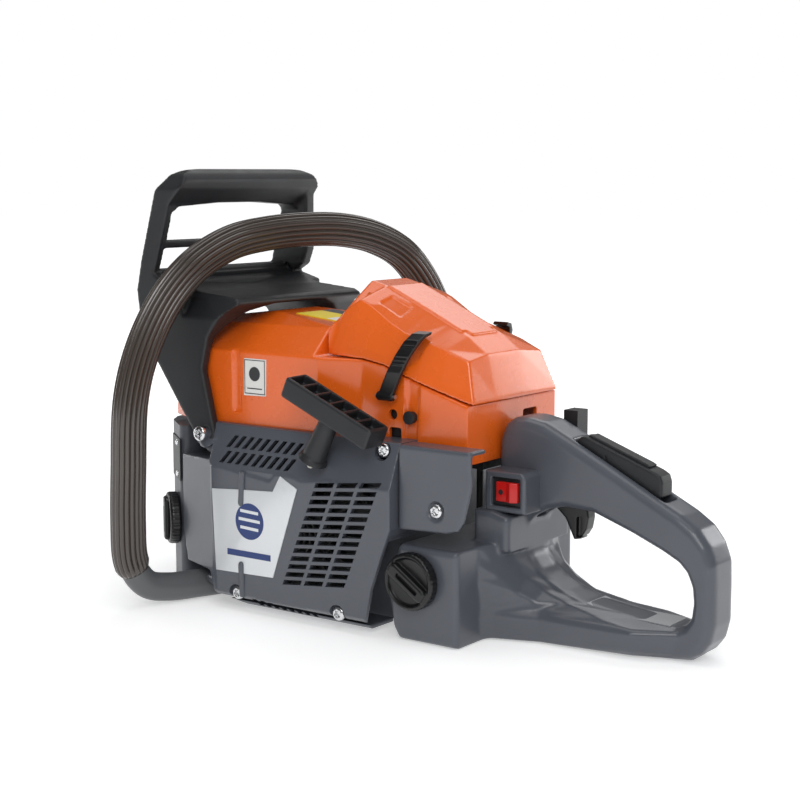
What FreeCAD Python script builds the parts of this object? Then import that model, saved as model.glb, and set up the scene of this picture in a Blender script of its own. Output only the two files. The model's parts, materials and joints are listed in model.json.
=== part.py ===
import FreeCAD, Part
import math
import os
import Sketcher
from FreeCAD import Placement, Rotation, Vector

# Chainsaw power head without bar and chain, in millimetres.
# +X is forward, +Y is the starter side, +Z is up. The origin is on the floor under the crankshaft.

os.makedirs("parts", exist_ok=True)
doc = FreeCAD.newDocument("chainsaw")
sheet = doc.addObject("Spreadsheet::Sheet", "sizes")

SIZES = {
    "crank_height": 62,
    "case_half_width": 50,
    "case_wall": 6,
    "deck_height": 102,
    "case_front_top": 126,
    "bore_radius": 25,
    "stroke": 36,
    "rod_length": 60,
    "web_radius": 36,
    "journal_radius": 10,
    "fin_gap": 7,
    "fin_thickness": 2,
    "fin_count": 11,
    "running_gap": 0.05,
    "seat_gap": 0.03,
    "cover_wall": 2.5,
    "starter_face": 88,
    "starter_inner": 54,
    "clutch_face": 96,
    "clutch_inner": 56,
    "flywheel_radius": 52,
    "pulley_radius": 26,
    "drum_radius": 38,
    "stud_radius": 4,
    "stud_length": 57,
    "tank_left": 80,
    "tank_right": 70,
    "tank_top": 66,
    "tank_wall": 4,
    "handle_half_width": 17,
    "tube_radius": 10.5,
    "grip_radius": 13,
    "handle_plane_offset": 70,
    "handle_plane_slope": 0.4,
    "guard_half_width": 80,
    "guard_arm_thickness": 7.5,
    "pivot_x": 87,
    "pivot_height": 126,
    "pivot_radius": 4,
    "cap_radius": 20,
    "cap_height": 8,
    "carb_height": 129,
    "carb_half_width": 19,
    "venturi_radius": 11,
    "valve_radius": 10.6,
    "side_half_width": 70,
    "panel_thickness": 3,
    "plate_thickness": 0.8,
    "lever_half_width": 5.5,
    "lockout_half_width": 8,
    "screw_head_radius": 4.8,
    "boss_radius": 8,
}
for row, (alias, value) in enumerate(SIZES.items(), 1):
    sheet.set("A%d" % row, alias)
    sheet.set("B%d" % row, str(value))
    sheet.setAlias("B%d" % row, alias)
doc.recompute()

X_AXIS = Vector(1, 0, 0)
Y_AXIS = Vector(0, 1, 0)
Z_AXIS = Vector(0, 0, 1)
PARTS = []


def size(name):
    """A driving dimension from the sheet."""
    return float(sheet.get(name))


def keep(thing, label):
    """Names a finished sub-part and puts it on the list to export."""
    thing.Label = label
    PARTS.append(thing)
    return thing


def feature(label, shape):
    """A sub-part whose shape comes from Part functions."""
    thing = doc.addObject("Part::Feature", label)
    thing.Shape = shape
    thing.Placement = Placement()
    return keep(thing, label)


# ---------------------------------------------------------------- sketch based sub-parts

def plane_of(body, role):
    """One of the body's own origin planes."""
    return next(item for item in body.Origin.OriginFeatures if item.Role == role)


def draw_loop(sketch, outline):
    """A closed chain of lines."""
    first = len(sketch.Geometry)
    points = [Vector(u, v, 0) for u, v in outline]
    for start, end in zip(points, points[1:] + points[:1]):
        sketch.addGeometry(Part.LineSegment(start, end), False)
    count = len(points)
    for index in range(count):
        following = first + (index + 1) % count
        sketch.addConstraint(Sketcher.Constraint("Coincident", first + index, 2, following, 1))


def padded(label, role, outline, level, length, holes=()):
    """A body padded from an outline on an origin plane, starting at a level along its normal."""
    body = doc.addObject("PartDesign::Body", label)
    sketch = body.newObject("Sketcher::SketchObject", label + "_outline")
    sketch.AttachmentSupport = [(plane_of(body, role), "")]
    sketch.MapMode = "FlatFace"
    sketch.setExpression("AttachmentOffset.Base.z", level)
    draw_loop(sketch, outline)
    for u, v, radius in holes:
        sketch.addGeometry(Part.Circle(Vector(u, v, 0), Z_AXIS, radius), False)
    pad = body.newObject("PartDesign::Pad", label + "_pad")
    pad.Profile = sketch
    pad.setExpression("Length", length)
    body.Tip = pad
    return keep(body, label)


def turned(label, profile, base, direction):
    """A body turned about its own Z axis from (radius, height) points, then pointed in a direction."""
    body = doc.addObject("PartDesign::Body", label)
    sketch = body.newObject("Sketcher::SketchObject", label + "_profile")
    sketch.AttachmentSupport = [(plane_of(body, "XZ_Plane"), "")]
    sketch.MapMode = "FlatFace"
    draw_loop(sketch, profile)
    turn = body.newObject("PartDesign::Revolution", label + "_turn")
    turn.Profile = sketch
    turn.ReferenceAxis = (sketch, ["V_Axis"])
    turn.Angle = 360
    body.Tip = turn
    body.Placement = Placement(base, Rotation(Z_AXIS, direction))
    return keep(body, label)


def ring(label, inner, outer, base, direction, width):
    """A plain ring."""
    profile = [(inner, 0), (outer, 0), (outer, width), (inner, width)]
    return turned(label, profile, base, direction)


def gathered(label, things):
    """One node of several like pieces."""
    for thing in things:
        PARTS.remove(thing)
    bundle = doc.addObject("Part::Compound", label)
    bundle.Links = things
    return keep(bundle, label)


# ---------------------------------------------------------------- shape helpers

def prism(outline, axis, low, high):
    """An outline of the other two axes, in the order X, Y, Z, extruded along one axis."""
    makers = {
        "x": lambda u, v: Vector(low, u, v),
        "y": lambda u, v: Vector(u, low, v),
        "z": lambda u, v: Vector(u, v, low),
    }
    along = {"x": X_AXIS, "y": Y_AXIS, "z": Z_AXIS}[axis]
    points = [makers[axis](u, v) for u, v in outline]
    face = Part.Face(Part.makePolygon(points + points[:1]))
    return face.extrude(along * (high - low))


def block(low, high):
    """A box between two corners."""
    span = Vector(*high) - Vector(*low)
    return Part.makeBox(span.x, span.y, span.z, Vector(*low))


def rod(start, end, radius):
    """A round bar between two points."""
    start = Vector(*start)
    span = Vector(*end) - start
    return Part.makeCylinder(radius, span.Length, start, span)


def cone(start, end, first_radius, second_radius):
    """A round bar that tapers."""
    start = Vector(*start)
    span = Vector(*end) - start
    return Part.makeCone(first_radius, second_radius, span.Length, start, span)


def united(shapes):
    """One solid from overlapping ones."""
    whole = shapes[0]
    for shape in shapes[1:]:
        whole = whole.fuse(shape)
    return whole.removeSplitter()


def carved(shape, tools):
    """The shape with each tool cut out of it, keeping its largest solid."""
    for tool in tools:
        shape = shape.cut(tool)
    return max(shape.Solids, key=lambda solid: solid.Volume)


def rounded(shape, radius, chosen):
    """The shape with the chosen edges rounded."""
    edges = [edge for edge in shape.Edges if chosen(edge)]
    return shape.makeFillet(radius, edges)


def along_axis(edge, axis, least=5.0):
    """Whether an edge is straight along an axis and at least so long."""
    if not isinstance(edge.Curve, (Part.Line, Part.LineSegment)):
        return False
    span = edge.Vertexes[-1].Point - edge.Vertexes[0].Point
    return span.Length >= least and span.cross(axis).Length < 1e-6 * span.Length


def bent_line(points):
    """A path of straight runs joined by tangent arcs near the given corners."""
    corners = [Vector(*point) for point in points]
    spans = [(b - a).Length for a, b in zip(corners, corners[1:])]
    edges = []
    here = corners[0]
    for index in range(1, len(corners) - 1):
        back = (corners[index - 1] - corners[index]).normalize()
        ahead = (corners[index + 1] - corners[index]).normalize()
        reach = 0.48 * min(spans[index - 1], spans[index])
        start = corners[index] + back * reach
        end = corners[index] + ahead * reach
        half = back.getAngle(ahead) / 2
        if math.pi / 2 - half < 0.002:
            continue
        bisector = (back + ahead).normalize()
        middle = corners[index] + bisector * (reach / math.cos(half) - reach * math.tan(half))
        if (start - here).Length > 1e-4:
            edges.append(Part.makeLine(here, start))
        edges.append(Part.Arc(start, middle, end).toShape())
        here = end
    edges.append(Part.makeLine(here, corners[-1]))
    return Part.Wire(edges)


def swept(points, radius):
    """A round bar that follows a bent line."""
    path = bent_line(points)
    heading = Vector(*points[1]) - Vector(*points[0])
    section = Part.Wire([Part.makeCircle(radius, Vector(*points[0]), heading)])
    return path.makePipeShell([section], True, True)


def hexagon(x_centre, z_centre, across):
    """Corner points of a hexagon across its flats."""
    reach = across / 2 / math.cos(math.pi / 6)
    angles = [math.radians(60 * index) for index in range(6)]
    return [(x_centre + reach * math.cos(a), z_centre + reach * math.sin(a)) for a in angles]


crank_z = size("crank_height")
case_y = size("case_half_width")
running = size("running_gap")
seat = size("seat_gap")
wall = size("cover_wall")
pivot_x = size("pivot_x")
pivot_z = size("pivot_height")
pivot_r = size("pivot_radius")
CRANK_CENTRE = Vector(0, 0, crank_z)

# ---------------------------------------------------------------- crankcase and crank train

BEARING_FACE = 26
BEARING_WIDTH = 15
BEARING_RADIUS = 26
SEAL_RADIUS = 17
CHAMBER_HALF = 24
CAP_DIRECTION = Vector(33, 26, 0).normalize()
OIL_CAP_DIRECTION = Vector(26, 33, 0).normalize()
OIL_CAP_SEAT = Vector(138, 56.75, 53)
STUD_PLACES = [(85, 60), (117, 60)]
STUD_START = -45

case_plan = [(-68, -50), (164, -50), (166, 0), (163, 30), (153, 45), (123, 68.5), (114, 50), (-68, 50)]
case = prism(case_plan, "z", 4, size("case_front_top"))
case = rounded(case, 6, lambda edge: along_axis(edge, Z_AXIS, 100) and edge.BoundBox.XMin > 120)
case = case.cut(block((-80, -60, size("deck_height")), (60, 75, 140)))
case = united([
    case,
    block((-55, -34, 0), (55, 34, 8)),
    rod((pivot_x, 40, pivot_z), (pivot_x, 71.5, pivot_z), size("boss_radius")),
    rod((pivot_x, -40, pivot_z), (pivot_x, -71.5, pivot_z), size("boss_radius")),
    block((pivot_x - 8, 40, 112), (pivot_x + 8, 50, pivot_z)),
    block((55, -54, 36), (135, -48, 88)),
])
hollows = [
    rod((0, -CHAMBER_HALF, crank_z), (0, CHAMBER_HALF, crank_z), size("web_radius") + 2),
    rod((0, 0, crank_z), (0, 0, 110), size("bore_radius") + 5),
    rod((0, -case_y - 1, crank_z), (0, case_y + 1, crank_z), SEAL_RADIUS + seat),
    rod((0, -BEARING_FACE - BEARING_WIDTH, crank_z), (0, BEARING_FACE + BEARING_WIDTH, crank_z),
        BEARING_RADIUS + seat),
    block((74, -42, 12), (154, 40, 116)),
    rod((pivot_x, 60, pivot_z), (pivot_x, 75, pivot_z), pivot_r + seat),
    rod((pivot_x, -75, pivot_z), (pivot_x, -60, pivot_z), pivot_r + seat),
]
neck_start = OIL_CAP_SEAT - OIL_CAP_DIRECTION * 30
neck_end = OIL_CAP_SEAT + OIL_CAP_DIRECTION * 10
hollows.append(rod(tuple(neck_start), tuple(neck_end), 14))
for stud_x, stud_z in STUD_PLACES:
    hollows.append(rod((stud_x, -60, stud_z), (stud_x, STUD_START, stud_z), size("stud_radius") + seat))
case = carved(case, hollows)
feature("crankcase", case)

bearings = []
seals = []
halves = []
for side, sign in (("left", 1), ("right", -1)):
    facing = Vector(0, sign, 0)
    bearings.append(ring("main_bearing_" + side, size("journal_radius") + running, BEARING_RADIUS,
                         Vector(0, sign * BEARING_FACE, crank_z), facing, BEARING_WIDTH))
    seals.append(ring("crank_seal_" + side, size("journal_radius") + running, SEAL_RADIUS,
                      Vector(0, sign * 42, crank_z), facing, 7))
    stub_radius = 7.5 if sign > 0 else 7
    stub_end = 72 if sign > 0 else 86
    half = united([
        rod((0, sign * 8, crank_z), (0, sign * 22, crank_z), size("web_radius")),
        rod((0, sign * 20, crank_z), (0, sign * 50, crank_z), size("journal_radius")),
        rod((0, sign * 49, crank_z), (0, sign * stub_end, crank_z), stub_radius),
    ])
    for reach in (-1, 1):
        low = (min(reach * 18, reach * 50), min(sign * 5, sign * 22.5), crank_z + 12)
        high = (max(reach * 18, reach * 50), max(sign * 5, sign * 22.5), crank_z + 50)
        half = half.cut(block(low, high))
    halves.append(half)
gathered("main_bearings", bearings)
gathered("crank_seals", seals)
feature("crankshaft", Part.makeCompound(halves))

pin_z = crank_z + size("stroke") / 2
wrist_z = pin_z + size("rod_length")
crown_z = wrist_z + 20
PISTON_RADIUS = size("bore_radius") - 0.1
crank_pin = turned("crank_pin", [(0, 0), (8, 0), (8, 15.6), (0, 15.6)], Vector(0, -7.8, pin_z), Y_AXIS)
piston_pin = turned("piston_pin", [(0, 0), (5, 0), (5, 42), (0, 42)], Vector(0, -21, wrist_z), Y_AXIS)
gathered("rod_pins", [crank_pin, piston_pin])
turned("piston", [(0, crown_z - 7), (22, crown_z - 7), (22, wrist_z - 15), (PISTON_RADIUS, wrist_z - 15),
                  (PISTON_RADIUS, crown_z), (0, crown_z)], Vector(0, 0, 0), Z_AXIS)
rod_shape = united([
    rod((0, -6, pin_z), (0, 6, pin_z), 14),
    rod((0, -6, wrist_z), (0, 6, wrist_z), 9),
    block((-6, -4, pin_z + 8), (6, 4, wrist_z - 4)),
])
rod_shape = rod_shape.cut(rod((0, -7, pin_z), (0, 7, pin_z), 8 + running))
rod_shape = rod_shape.cut(rod((0, -7, wrist_z), (0, 7, wrist_z), 5 + running))
feature("connecting_rod", rod_shape)

# ---------------------------------------------------------------- cylinder, plug, muffler

HEAD_TOP = 172
PLUG_SEAT = Vector(14, 0, HEAD_TOP - 2)
PLUG_DIRECTION = Vector(math.cos(math.radians(30)), 0, math.sin(math.radians(30)))
plug_end = PLUG_SEAT + PLUG_DIRECTION * 45
fin_outline = [(-36, -36), (-26, -46), (36, -46), (46, -36), (46, 36), (36, 46), (-26, 46), (-36, 36)]
fins = []
for index in range(int(size("fin_count"))):
    level = size("deck_height") + 10 + index * size("fin_gap")
    fins.append(prism(fin_outline, "z", level, level + size("fin_thickness")))
barrel = [
    rod((0, 0, size("deck_height")), (0, 0, HEAD_TOP), size("bore_radius") + 7),
    block((-34, -30, size("deck_height")), (34, 30, size("deck_height") + 6)),
    block((20, -18, 126), (50, 18, 152)),
    rod((-44, 0, size("carb_height")), (-20, 0, size("carb_height")), 15),
    rod((-6, -3, 165), (-6, -3, 184), 10),
    rod((-20, 20, 124), (-20, 44, 124), 9),
]
cylinder = united(barrel + fins)
bores = [
    rod((0, 0, 95), (0, 0, crown_z + 2), size("bore_radius")),
    rod((20, 0, 139), (60, 0, 139), 11),
    rod((-60, 0, size("carb_height")), (-20, 0, size("carb_height")), 10),
    rod(tuple(PLUG_SEAT), tuple(plug_end), 13),
    rod(tuple(PLUG_SEAT - PLUG_DIRECTION * 7), tuple(PLUG_SEAT), 7 + seat),
    rod((-20, 30, 124), (-20, 60, 124), 5 + seat),
]
feature("cylinder", carved(cylinder, bores))

turned("spark_plug", [(0, -6), (7, -6), (7, 0), (10.5, 0), (10.5, 12), (6.5, 14), (5, 42), (0, 42)],
       PLUG_SEAT, PLUG_DIRECTION)
boot = turned("spark_plug_boot", [(7, 16), (9, 16), (9, 46), (7, 50), (0, 50), (0, 43), (5.6, 43)],
       PLUG_SEAT, PLUG_DIRECTION)
feature("ignition_coil", united([
    block((48, 50, 98), (54, 66, 118)),
    block((64, 50, 98), (70, 66, 118)),
    block((48, 53, 108), (70, 66, 124)),
]))
lead = feature("ignition_lead", swept([(60, 60, 124.2), (60, 58, 150), (58, 52, 182), (56, 34, 194),
                                       (58, 18, 196), (60, 9.4, 196)], 2.8))
gathered("spark_plug_lead", [boot, lead])
muffler_side = [(58, 134), (131, 134), (131, 150), (118, 184), (58, 184)]
muffler = prism(muffler_side, "y", -42, 42)
muffler = rounded(muffler, 4, lambda edge: along_axis(edge, Y_AXIS, 50))
muffler_inside = [(60, 136), (129, 136), (129, 150), (116.5, 182), (60, 182)]
muffler = muffler.cut(prism(muffler_inside, "y", -40, 40))
muffler = muffler.cut(rod((50, 0, 139 + 6), (61, 0, 139 + 6), 9))
muffler = muffler.cut(block((125, -38, 140), (135, -14, 148)))
feature("muffler", muffler)

# ---------------------------------------------------------------- starter side

FLANGE_EDGE = Vector(121, 0, 0)
starter_outline = [(-65, 3), (50, 3), (72, 8), (79, 25), (114, 26), (121, 49), (120, 106), (78, 108),
                   (78, 134), (-87, 134), (-87, 76), (-71, 33)]
starter_inset = [(-62, 5.5), (49, 5.5), (70, 10), (77, 27.5), (112, 28.5), (125, 29), (125, 103.5),
                 (75.5, 105.5), (75.5, 131.5), (-84.5, 131.5), (-84.5, 76), (-68.5, 33)]


def starter_block(outline, depth):
    """The starter cover's outside, or its inside when drawn inset, with the slanted front and top."""
    face = size("starter_face") - depth
    solid = prism(outline, "y", size("starter_inner") - (0 if depth == 0 else 2), face)
    front = [(74, face), (140, face - 26), (140, 110), (74, 110)]
    top = [(face, 104), (face - 14, 138), (face + 20, 138), (face + 20, 104)]
    return solid.cut(prism(front, "z", -5, 150)).cut(prism(top, "x", -100, 130))


starter = starter_block(starter_outline, 0).cut(starter_block(starter_inset, wall))
STARTER_SCREWS = [(-74, 128), (-42, 12), (51, 13)]
screw_faces = {(-74, 128): 78, (-42, 12): 88, (51, 13): 88}
starter_adds = [
    rod((pivot_x, 80.5, pivot_z), (pivot_x, 87, pivot_z), 11),
    rod((0, 73, crank_z), (0, 86, crank_z), 5),
    block((42, 87, 94), (47, 89.5, 103)),
    block((42, 87, 12), (47, 89.5, 26)),
]
starter_cuts = [
    rod((pivot_x, 80, pivot_z), (pivot_x, 90, pivot_z), pivot_r + seat),
    rod((pivot_x, 84, pivot_z), (pivot_x, 90, pivot_z), size("screw_head_radius") + 1),
    rod((-22, 76, 110), (-22, 92, 110), 4),
    prism([(113, 50), (122, 68), (135, 68), (135, 50)], "z", 0, 120),
    block((-100, 50, 129.5), (80, 71.5, 140)),
]
for screw_x, screw_z in STARTER_SCREWS:
    screw_face = screw_faces[(screw_x, screw_z)]
    starter_adds.append(rod((screw_x, 54, screw_z), (screw_x, screw_face, screw_z), size("boss_radius")))
    starter_cuts.append(rod((screw_x, 50, screw_z), (screw_x, 90, screw_z), 2.3))
    starter_cuts.append(rod((screw_x, screw_face - 5, screw_z), (screw_x, 95, screw_z), 5.6))
starter = united([starter] + starter_adds)

GRID_ROWS = 13
GRID_COLUMNS = 3
for row in range(GRID_ROWS):
    for column in range(GRID_COLUMNS):
        right = -24 + row * 2.45 - column * 19.5
        top_edge = 102 - row * 6.05 + column * 2
        slot = [(right, top_edge), (right - 16.5, top_edge + 1.8), (right - 15, top_edge - 1.8),
                (right + 1.5, top_edge - 3.6)]
        starter_cuts.append(prism(slot, "y", 84, 92))
for row in range(2):
    for column in range(9):
        left = 68 - column * 7.6 - row * 3
        foot = 107 + row * 11
        slot = [(left, foot), (left - 4, foot), (left - 10, foot + 8.5), (left - 6, foot + 8.5)]
        starter_cuts.append(prism(slot, "y", 68, 92))
feature("starter_cover", carved(starter, starter_cuts))

padded("starter_label_plate", "XZ_Plane",
       [(74, 88), (47.5, 90), (15, 92), (8, 104), (-8, 96), (15, 29), (71, 27.5)],
       "-(sizes.starter_face + sizes.plate_thickness)", "sizes.plate_thickness")

HEAD = size("screw_head_radius")
cover_screws = []
for index, (screw_x, screw_z) in enumerate(STARTER_SCREWS, 1):
    head_face = screw_faces[(screw_x, screw_z)] - 0.8
    profile = [(0, 0), (2.5, 0), (HEAD, 0), (HEAD, 4), (2, 4), (2, 23), (0, 23)]
    cover_screws.append(turned("starter_screw_%d" % index, profile,
                               Vector(screw_x, head_face, screw_z), -Y_AXIS))
pivot_screws = []
for side, sign in (("left", 1), ("right", -1)):
    profile = [(0, 0), (HEAD, 0), (HEAD, 3), (pivot_r, 3), (pivot_r, 22), (0, 22)]
    pivot_screws.append(turned("guard_pivot_screw_" + side, profile,
                               Vector(pivot_x, sign * 87, pivot_z), Vector(0, -sign, 0)))
gathered("guard_pivot_screws", pivot_screws)

flywheel = united([
    rod((0, 54.5, crank_z), (0, 59, crank_z), size("flywheel_radius")),
    rod((0, 54.5, crank_z), (0, 69, crank_z), 15),
])
blades = []
for index in range(12):
    blade = block((24, -1, 0), (size("flywheel_radius") - 1, 1, 11))
    blade.rotate(Vector(0, 0, 0), Z_AXIS, 30 * index)
    blade.rotate(Vector(0, 0, 0), X_AXIS, -90)
    blade.translate(Vector(0, 58.5, crank_z))
    blades.append(blade)
flywheel = united([flywheel] + blades)
flywheel = flywheel.cut(rod((0, 50, crank_z), (0, 75, crank_z), 7.5 + seat))
feature("flywheel", flywheel)
PULLEY = size("pulley_radius")
turned("starter_pulley",
       [(5 + running, 0), (PULLEY, 0), (PULLEY, 1.5), (22, 3), (22, 4.5), (PULLEY, 6), (PULLEY, 7),
        (5 + running, 7)], Vector(0, 73.5, crank_z), Y_AXIS)
spiral_points = []
for index in range(73):
    turn = math.radians(index * 15)
    reach = 7.5 + 15 * index / 72
    spiral_points.append(Vector(reach * math.cos(turn), 81, crank_z + reach * math.sin(turn)))
inner_line = Part.BSplineCurve()
inner_line.interpolate(spiral_points)
outer_line = Part.BSplineCurve()
outward = [point + (point - Vector(0, 81, crank_z)).normalize() * 0.8 for point in spiral_points]
outer_line.interpolate(outward)
spiral_face = Part.Face(Part.Wire([
    inner_line.toShape(),
    Part.makeLine(spiral_points[-1], outward[-1]),
    outer_line.toShape(),
    Part.makeLine(outward[0], spiral_points[0]),
]))
feature("recoil_spring", spiral_face.extrude(Y_AXIS * 4))

PULL_START = Vector(-22, 91, 116)
PULL_DIRECTION = Vector(-21, 0, 39).normalize()
BAR_CENTRE = PULL_START + PULL_DIRECTION * 43
bar_along = Vector(-72, -2, -32).normalize()
bar_across = PULL_DIRECTION.cross(bar_along).normalize()
bar_up = bar_along.cross(bar_across) * -1
bar_shape = Part.makeBox(78, 22, 15, Vector(-39, -11, -7.5))
bar_shape = rounded(bar_shape, 3, lambda edge: True)
pockets = []
for index in range(6):
    pocket_x = -34 + index * 11.6
    pockets.append(Part.makeBox(9.4, 16, 7, Vector(pocket_x, -8, 3)))
bar_shape = carved(bar_shape, pockets)
if bar_up.dot(PULL_DIRECTION) < 0:
    bar_up = bar_up * -1
    bar_across = bar_across * -1
turn_matrix = FreeCAD.Matrix(
    bar_along.x, bar_across.x, bar_up.x, BAR_CENTRE.x,
    bar_along.y, bar_across.y, bar_up.y, BAR_CENTRE.y,
    bar_along.z, bar_across.z, bar_up.z, BAR_CENTRE.z,
)
bar_shape = bar_shape.transformGeometry(turn_matrix) if turn_matrix.determinant() < 0 else \
    bar_shape.transformed(turn_matrix)
stem = cone(tuple(PULL_START + PULL_DIRECTION * 2.4), tuple(BAR_CENTRE - PULL_DIRECTION * 4), 8.5, 6)
pull_handle = united([bar_shape, stem])
pull_handle = pull_handle.cut(rod(tuple(PULL_START - PULL_DIRECTION * 2),
                                  tuple(PULL_START + PULL_DIRECTION * 12), 2.3))
feature("pull_handle", pull_handle)
feature("starter_rope", rod(tuple(PULL_START - PULL_DIRECTION * 1), tuple(PULL_START + PULL_DIRECTION * 12),
                            2.1))

# ---------------------------------------------------------------- clutch side

clutch_outline = [(-66, 6), (40, 4), (120, 20), (150, 38), (150, 90), (110, 106), (78, 108), (78, 128),
                  (-40, 128), (-66, 100)]
clutch_inset = [(-63, 9), (40, 7), (119, 23), (147, 40), (147, 88), (109, 103), (75, 105), (75, 125),
                (-39, 125), (-63, 99)]
FACE = size("clutch_face")
clutch = prism(clutch_outline, "y", -FACE, -size("clutch_inner"))
clutch = rounded(clutch, 10, lambda edge: edge.BoundBox.YMax < -FACE + 0.1)
clutch = clutch.cut(prism(clutch_inset, "y", -FACE + 3, -size("clutch_inner") + 2))
clutch = united([clutch, rod((pivot_x, -87, pivot_z), (pivot_x, -80.5, pivot_z), 11)])
clutch_cuts = [
    rod((pivot_x, -90, pivot_z), (pivot_x, -80, pivot_z), pivot_r + seat),
    rod((pivot_x, -90, pivot_z), (pivot_x, -84, pivot_z), HEAD + 1),
    block((96, -78, 32), (160, -50, 96)),
]
for stud_x, stud_z in STUD_PLACES:
    clutch_cuts.append(rod((stud_x, -110, stud_z), (stud_x, -50, stud_z), size("stud_radius") + 0.3))
feature("clutch_cover", carved(clutch, clutch_cuts))
STUD = size("stud_radius")
studs = []
nuts = []
for index, (stud_x, stud_z) in enumerate(STUD_PLACES, 1):
    profile = [(0, 0), (STUD, 0), (STUD, size("stud_length")), (0, size("stud_length"))]
    studs.append(turned("bar_stud_%d" % index, profile, Vector(stud_x, STUD_START, stud_z), -Y_AXIS))
    nuts.append(padded("bar_nut_%d" % index, "XZ_Plane", hexagon(stud_x, stud_z, 13),
                       "sizes.clutch_face", "6", holes=[(stud_x, stud_z, STUD + seat)]))
gathered("bar_studs", studs)
gathered("bar_nuts", nuts)
DRUM = size("drum_radius")
sprocket_teeth = []
for index in range(14):
    angle = math.radians(index * 360 / 14)
    reach = 18 if index % 2 == 0 else 13.5
    sprocket_teeth.append((reach * math.cos(angle), crank_z + reach * math.sin(angle)))
drum = united([
    rod((0, -84, crank_z), (0, -65, crank_z), DRUM).cut(rod((0, -85, crank_z), (0, -67, crank_z), DRUM - 2)),
    prism(sprocket_teeth, "y", -66, -58),
])
drum = drum.cut(rod((0, -70, crank_z), (0, -50, crank_z), 7 + running))
feature("clutch_drum", drum)
hub = rod((0, -82, crank_z), (0, -70, crank_z), DRUM - 5)
gaps = []
for index in range(3):
    gap = block((12, -1.5, -15), (40, 1.5, 15))
    gap.rotate(Vector(0, 0, 0), Z_AXIS, 120 * index + 30)
    gap.rotate(Vector(0, 0, 0), X_AXIS, 90)
    gap.translate(Vector(0, -76, crank_z))
    gaps.append(gap)
gaps.append(rod((0, -90, crank_z), (0, -60, crank_z), 7 + seat))
feature("clutch_shoes", carved(hub, gaps))
band = rod((0, -80, crank_z), (0, -69, crank_z), DRUM + 2.2)
band = band.cut(rod((0, -81, crank_z), (0, -68, crank_z), DRUM + 1))
band = band.cut(block((20, -85, crank_z - 20), (60, -60, crank_z - 4)))
feature("brake_band", band)
feature("oil_pump", block((-24, -56, 42), (24, -50, 84)).cut(rod((0, -60, crank_z), (0, -45, crank_z), 12)))
feature("chain_tensioner", united([rod((62, -60, 44), (134, -60, 44), 2.5),
                                   block((100, -65, 40), (110, -54.5, 48))]))
spike = [(138, 30), (160, 24), (176, 32), (167, 42), (180, 54), (168, 62), (180, 76), (166, 84), (158, 98),
         (138, 94)]
padded("bumper_spike", "XZ_Plane", spike, "50", "4", holes=[(146, 38, 2.6), (146, 86, 2.6)])

# ---------------------------------------------------------------- orange covers

SIDE = size("side_half_width")
shroud_side = [(148, 131), (146, 148), (124, 194), (108, 208), (65, 213), (-3, 206), (-7, 187), (-40, 186),
               (-59, 183), (-77, 176), (-125, 159), (-125, 119), (-118, 119), (-112, 131)]
shroud_inside = [(145, 128), (143.5, 147.5), (121.5, 193), (107, 205.5), (65, 210.5), (-1, 203.5),
                 (-5, 184.5), (-39.5, 183.5), (-58.3, 180.5), (-76, 173.5), (-122.5, 157), (-122.5, 116),
                 (-112, 116), (-108, 128)]


def shroud_block(side, shrink):
    """The cylinder cover's outside, or its inside when drawn smaller."""
    plan = [(160, 44 - shrink), (100, SIDE - shrink), (-11, SIDE - shrink), (-40, 57 - shrink),
            (-135, 51 - shrink)]
    plan = plan + [(-135, shrink - 62), (-80, shrink - 57), (-40, shrink - 57)] + [(u, -v) for u, v in reversed(plan[:-2])]
    crown = [(SIDE + 5, 120), (SIDE + 5, 181 - shrink), (46 - shrink, 207 - shrink), (20, 216 - shrink)]
    crown = crown + [(-u, v) for u, v in reversed(crown)]
    solid = prism(side, "y", -90, 90)
    return solid.common(prism(plan, "z", 100, 240)).common(prism(crown, "x", -140, 170))


shroud = shroud_block(shroud_side, 0)
shroud = shroud.cut(shroud_block(shroud_inside, wall))
shroud_cuts = [
    block((120, -36, 120), (170, 36, 178)),
    rod((-140, -27, 139), (-115, -27, 139), 3.2),
    rod((-65, 48, 150), (-65, 65, 150), 3),
    rod((-20, 60, 124), (-20, 80, 124), 5),
    block((-118, -46, 150), (-8, 46, 200)),
    rod((pivot_x, -80, pivot_z), (pivot_x, 80, pivot_z), size("boss_radius") + 1),
]
feature("cylinder_cover", carved(shroud, shroud_cuts))

cover_stations = [
    (-9, 187.8, 55, 55, 206, 207), (-14, 187.6, 57.2, 57.2, 213, 224), (-21, 187.5, 58, 58, 219, 238.5),
    (-34, 187, 58, 58, 227, 235), (-42, 186.7, 58, 58, 223.5, 231.5), (-60, 183.6, 58, 58, 212, 223.5),
    (-72, 178.9, 58, 58, 206, 218), (-88, 173.3, 57, 58, 201, 210.5), (-104, 167.7, 54, 58, 195.5, 203),
    (-120, 162, 50, 57, 188.5, 191.5), (-127.5, 159.6, 48, 59, 161.5, 162.3),
]


def cover_block(stations, shrink):
    """The filter cover over stations: place, seam height, left and right half widths, edge and ridge heights."""
    wires = []
    for place, seam, left, right, edge_height, ridge_height in stations:
        lean = 0 if place in (-9, -127.5) else 7.5
        foot = seam if shrink == 0 else seam - 12
        outline = []
        for sign, half in ((1, left), (-1, right)):
            side = [(half - shrink, foot), (half - shrink - lean * 0.15, seam + 0.2 * (edge_height - seam)),
                    (half - shrink - lean, edge_height - shrink), (20, ridge_height - shrink)]
            side = [(sign * u, v) for u, v in side]
            outline += side if sign == 1 else side[::-1]
        points = [Vector(place, u, v) for u, v in outline]
        wires.append(Part.makePolygon(points + points[:1]))
    return Part.makeLoft(wires, True, True)


filter_cover = cover_block(cover_stations, 0)
filter_cover = filter_cover.cut(cover_block(cover_stations[1:10], wall))
feature("filter_cover", max(filter_cover.Solids, key=lambda solid: solid.Volume))

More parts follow.
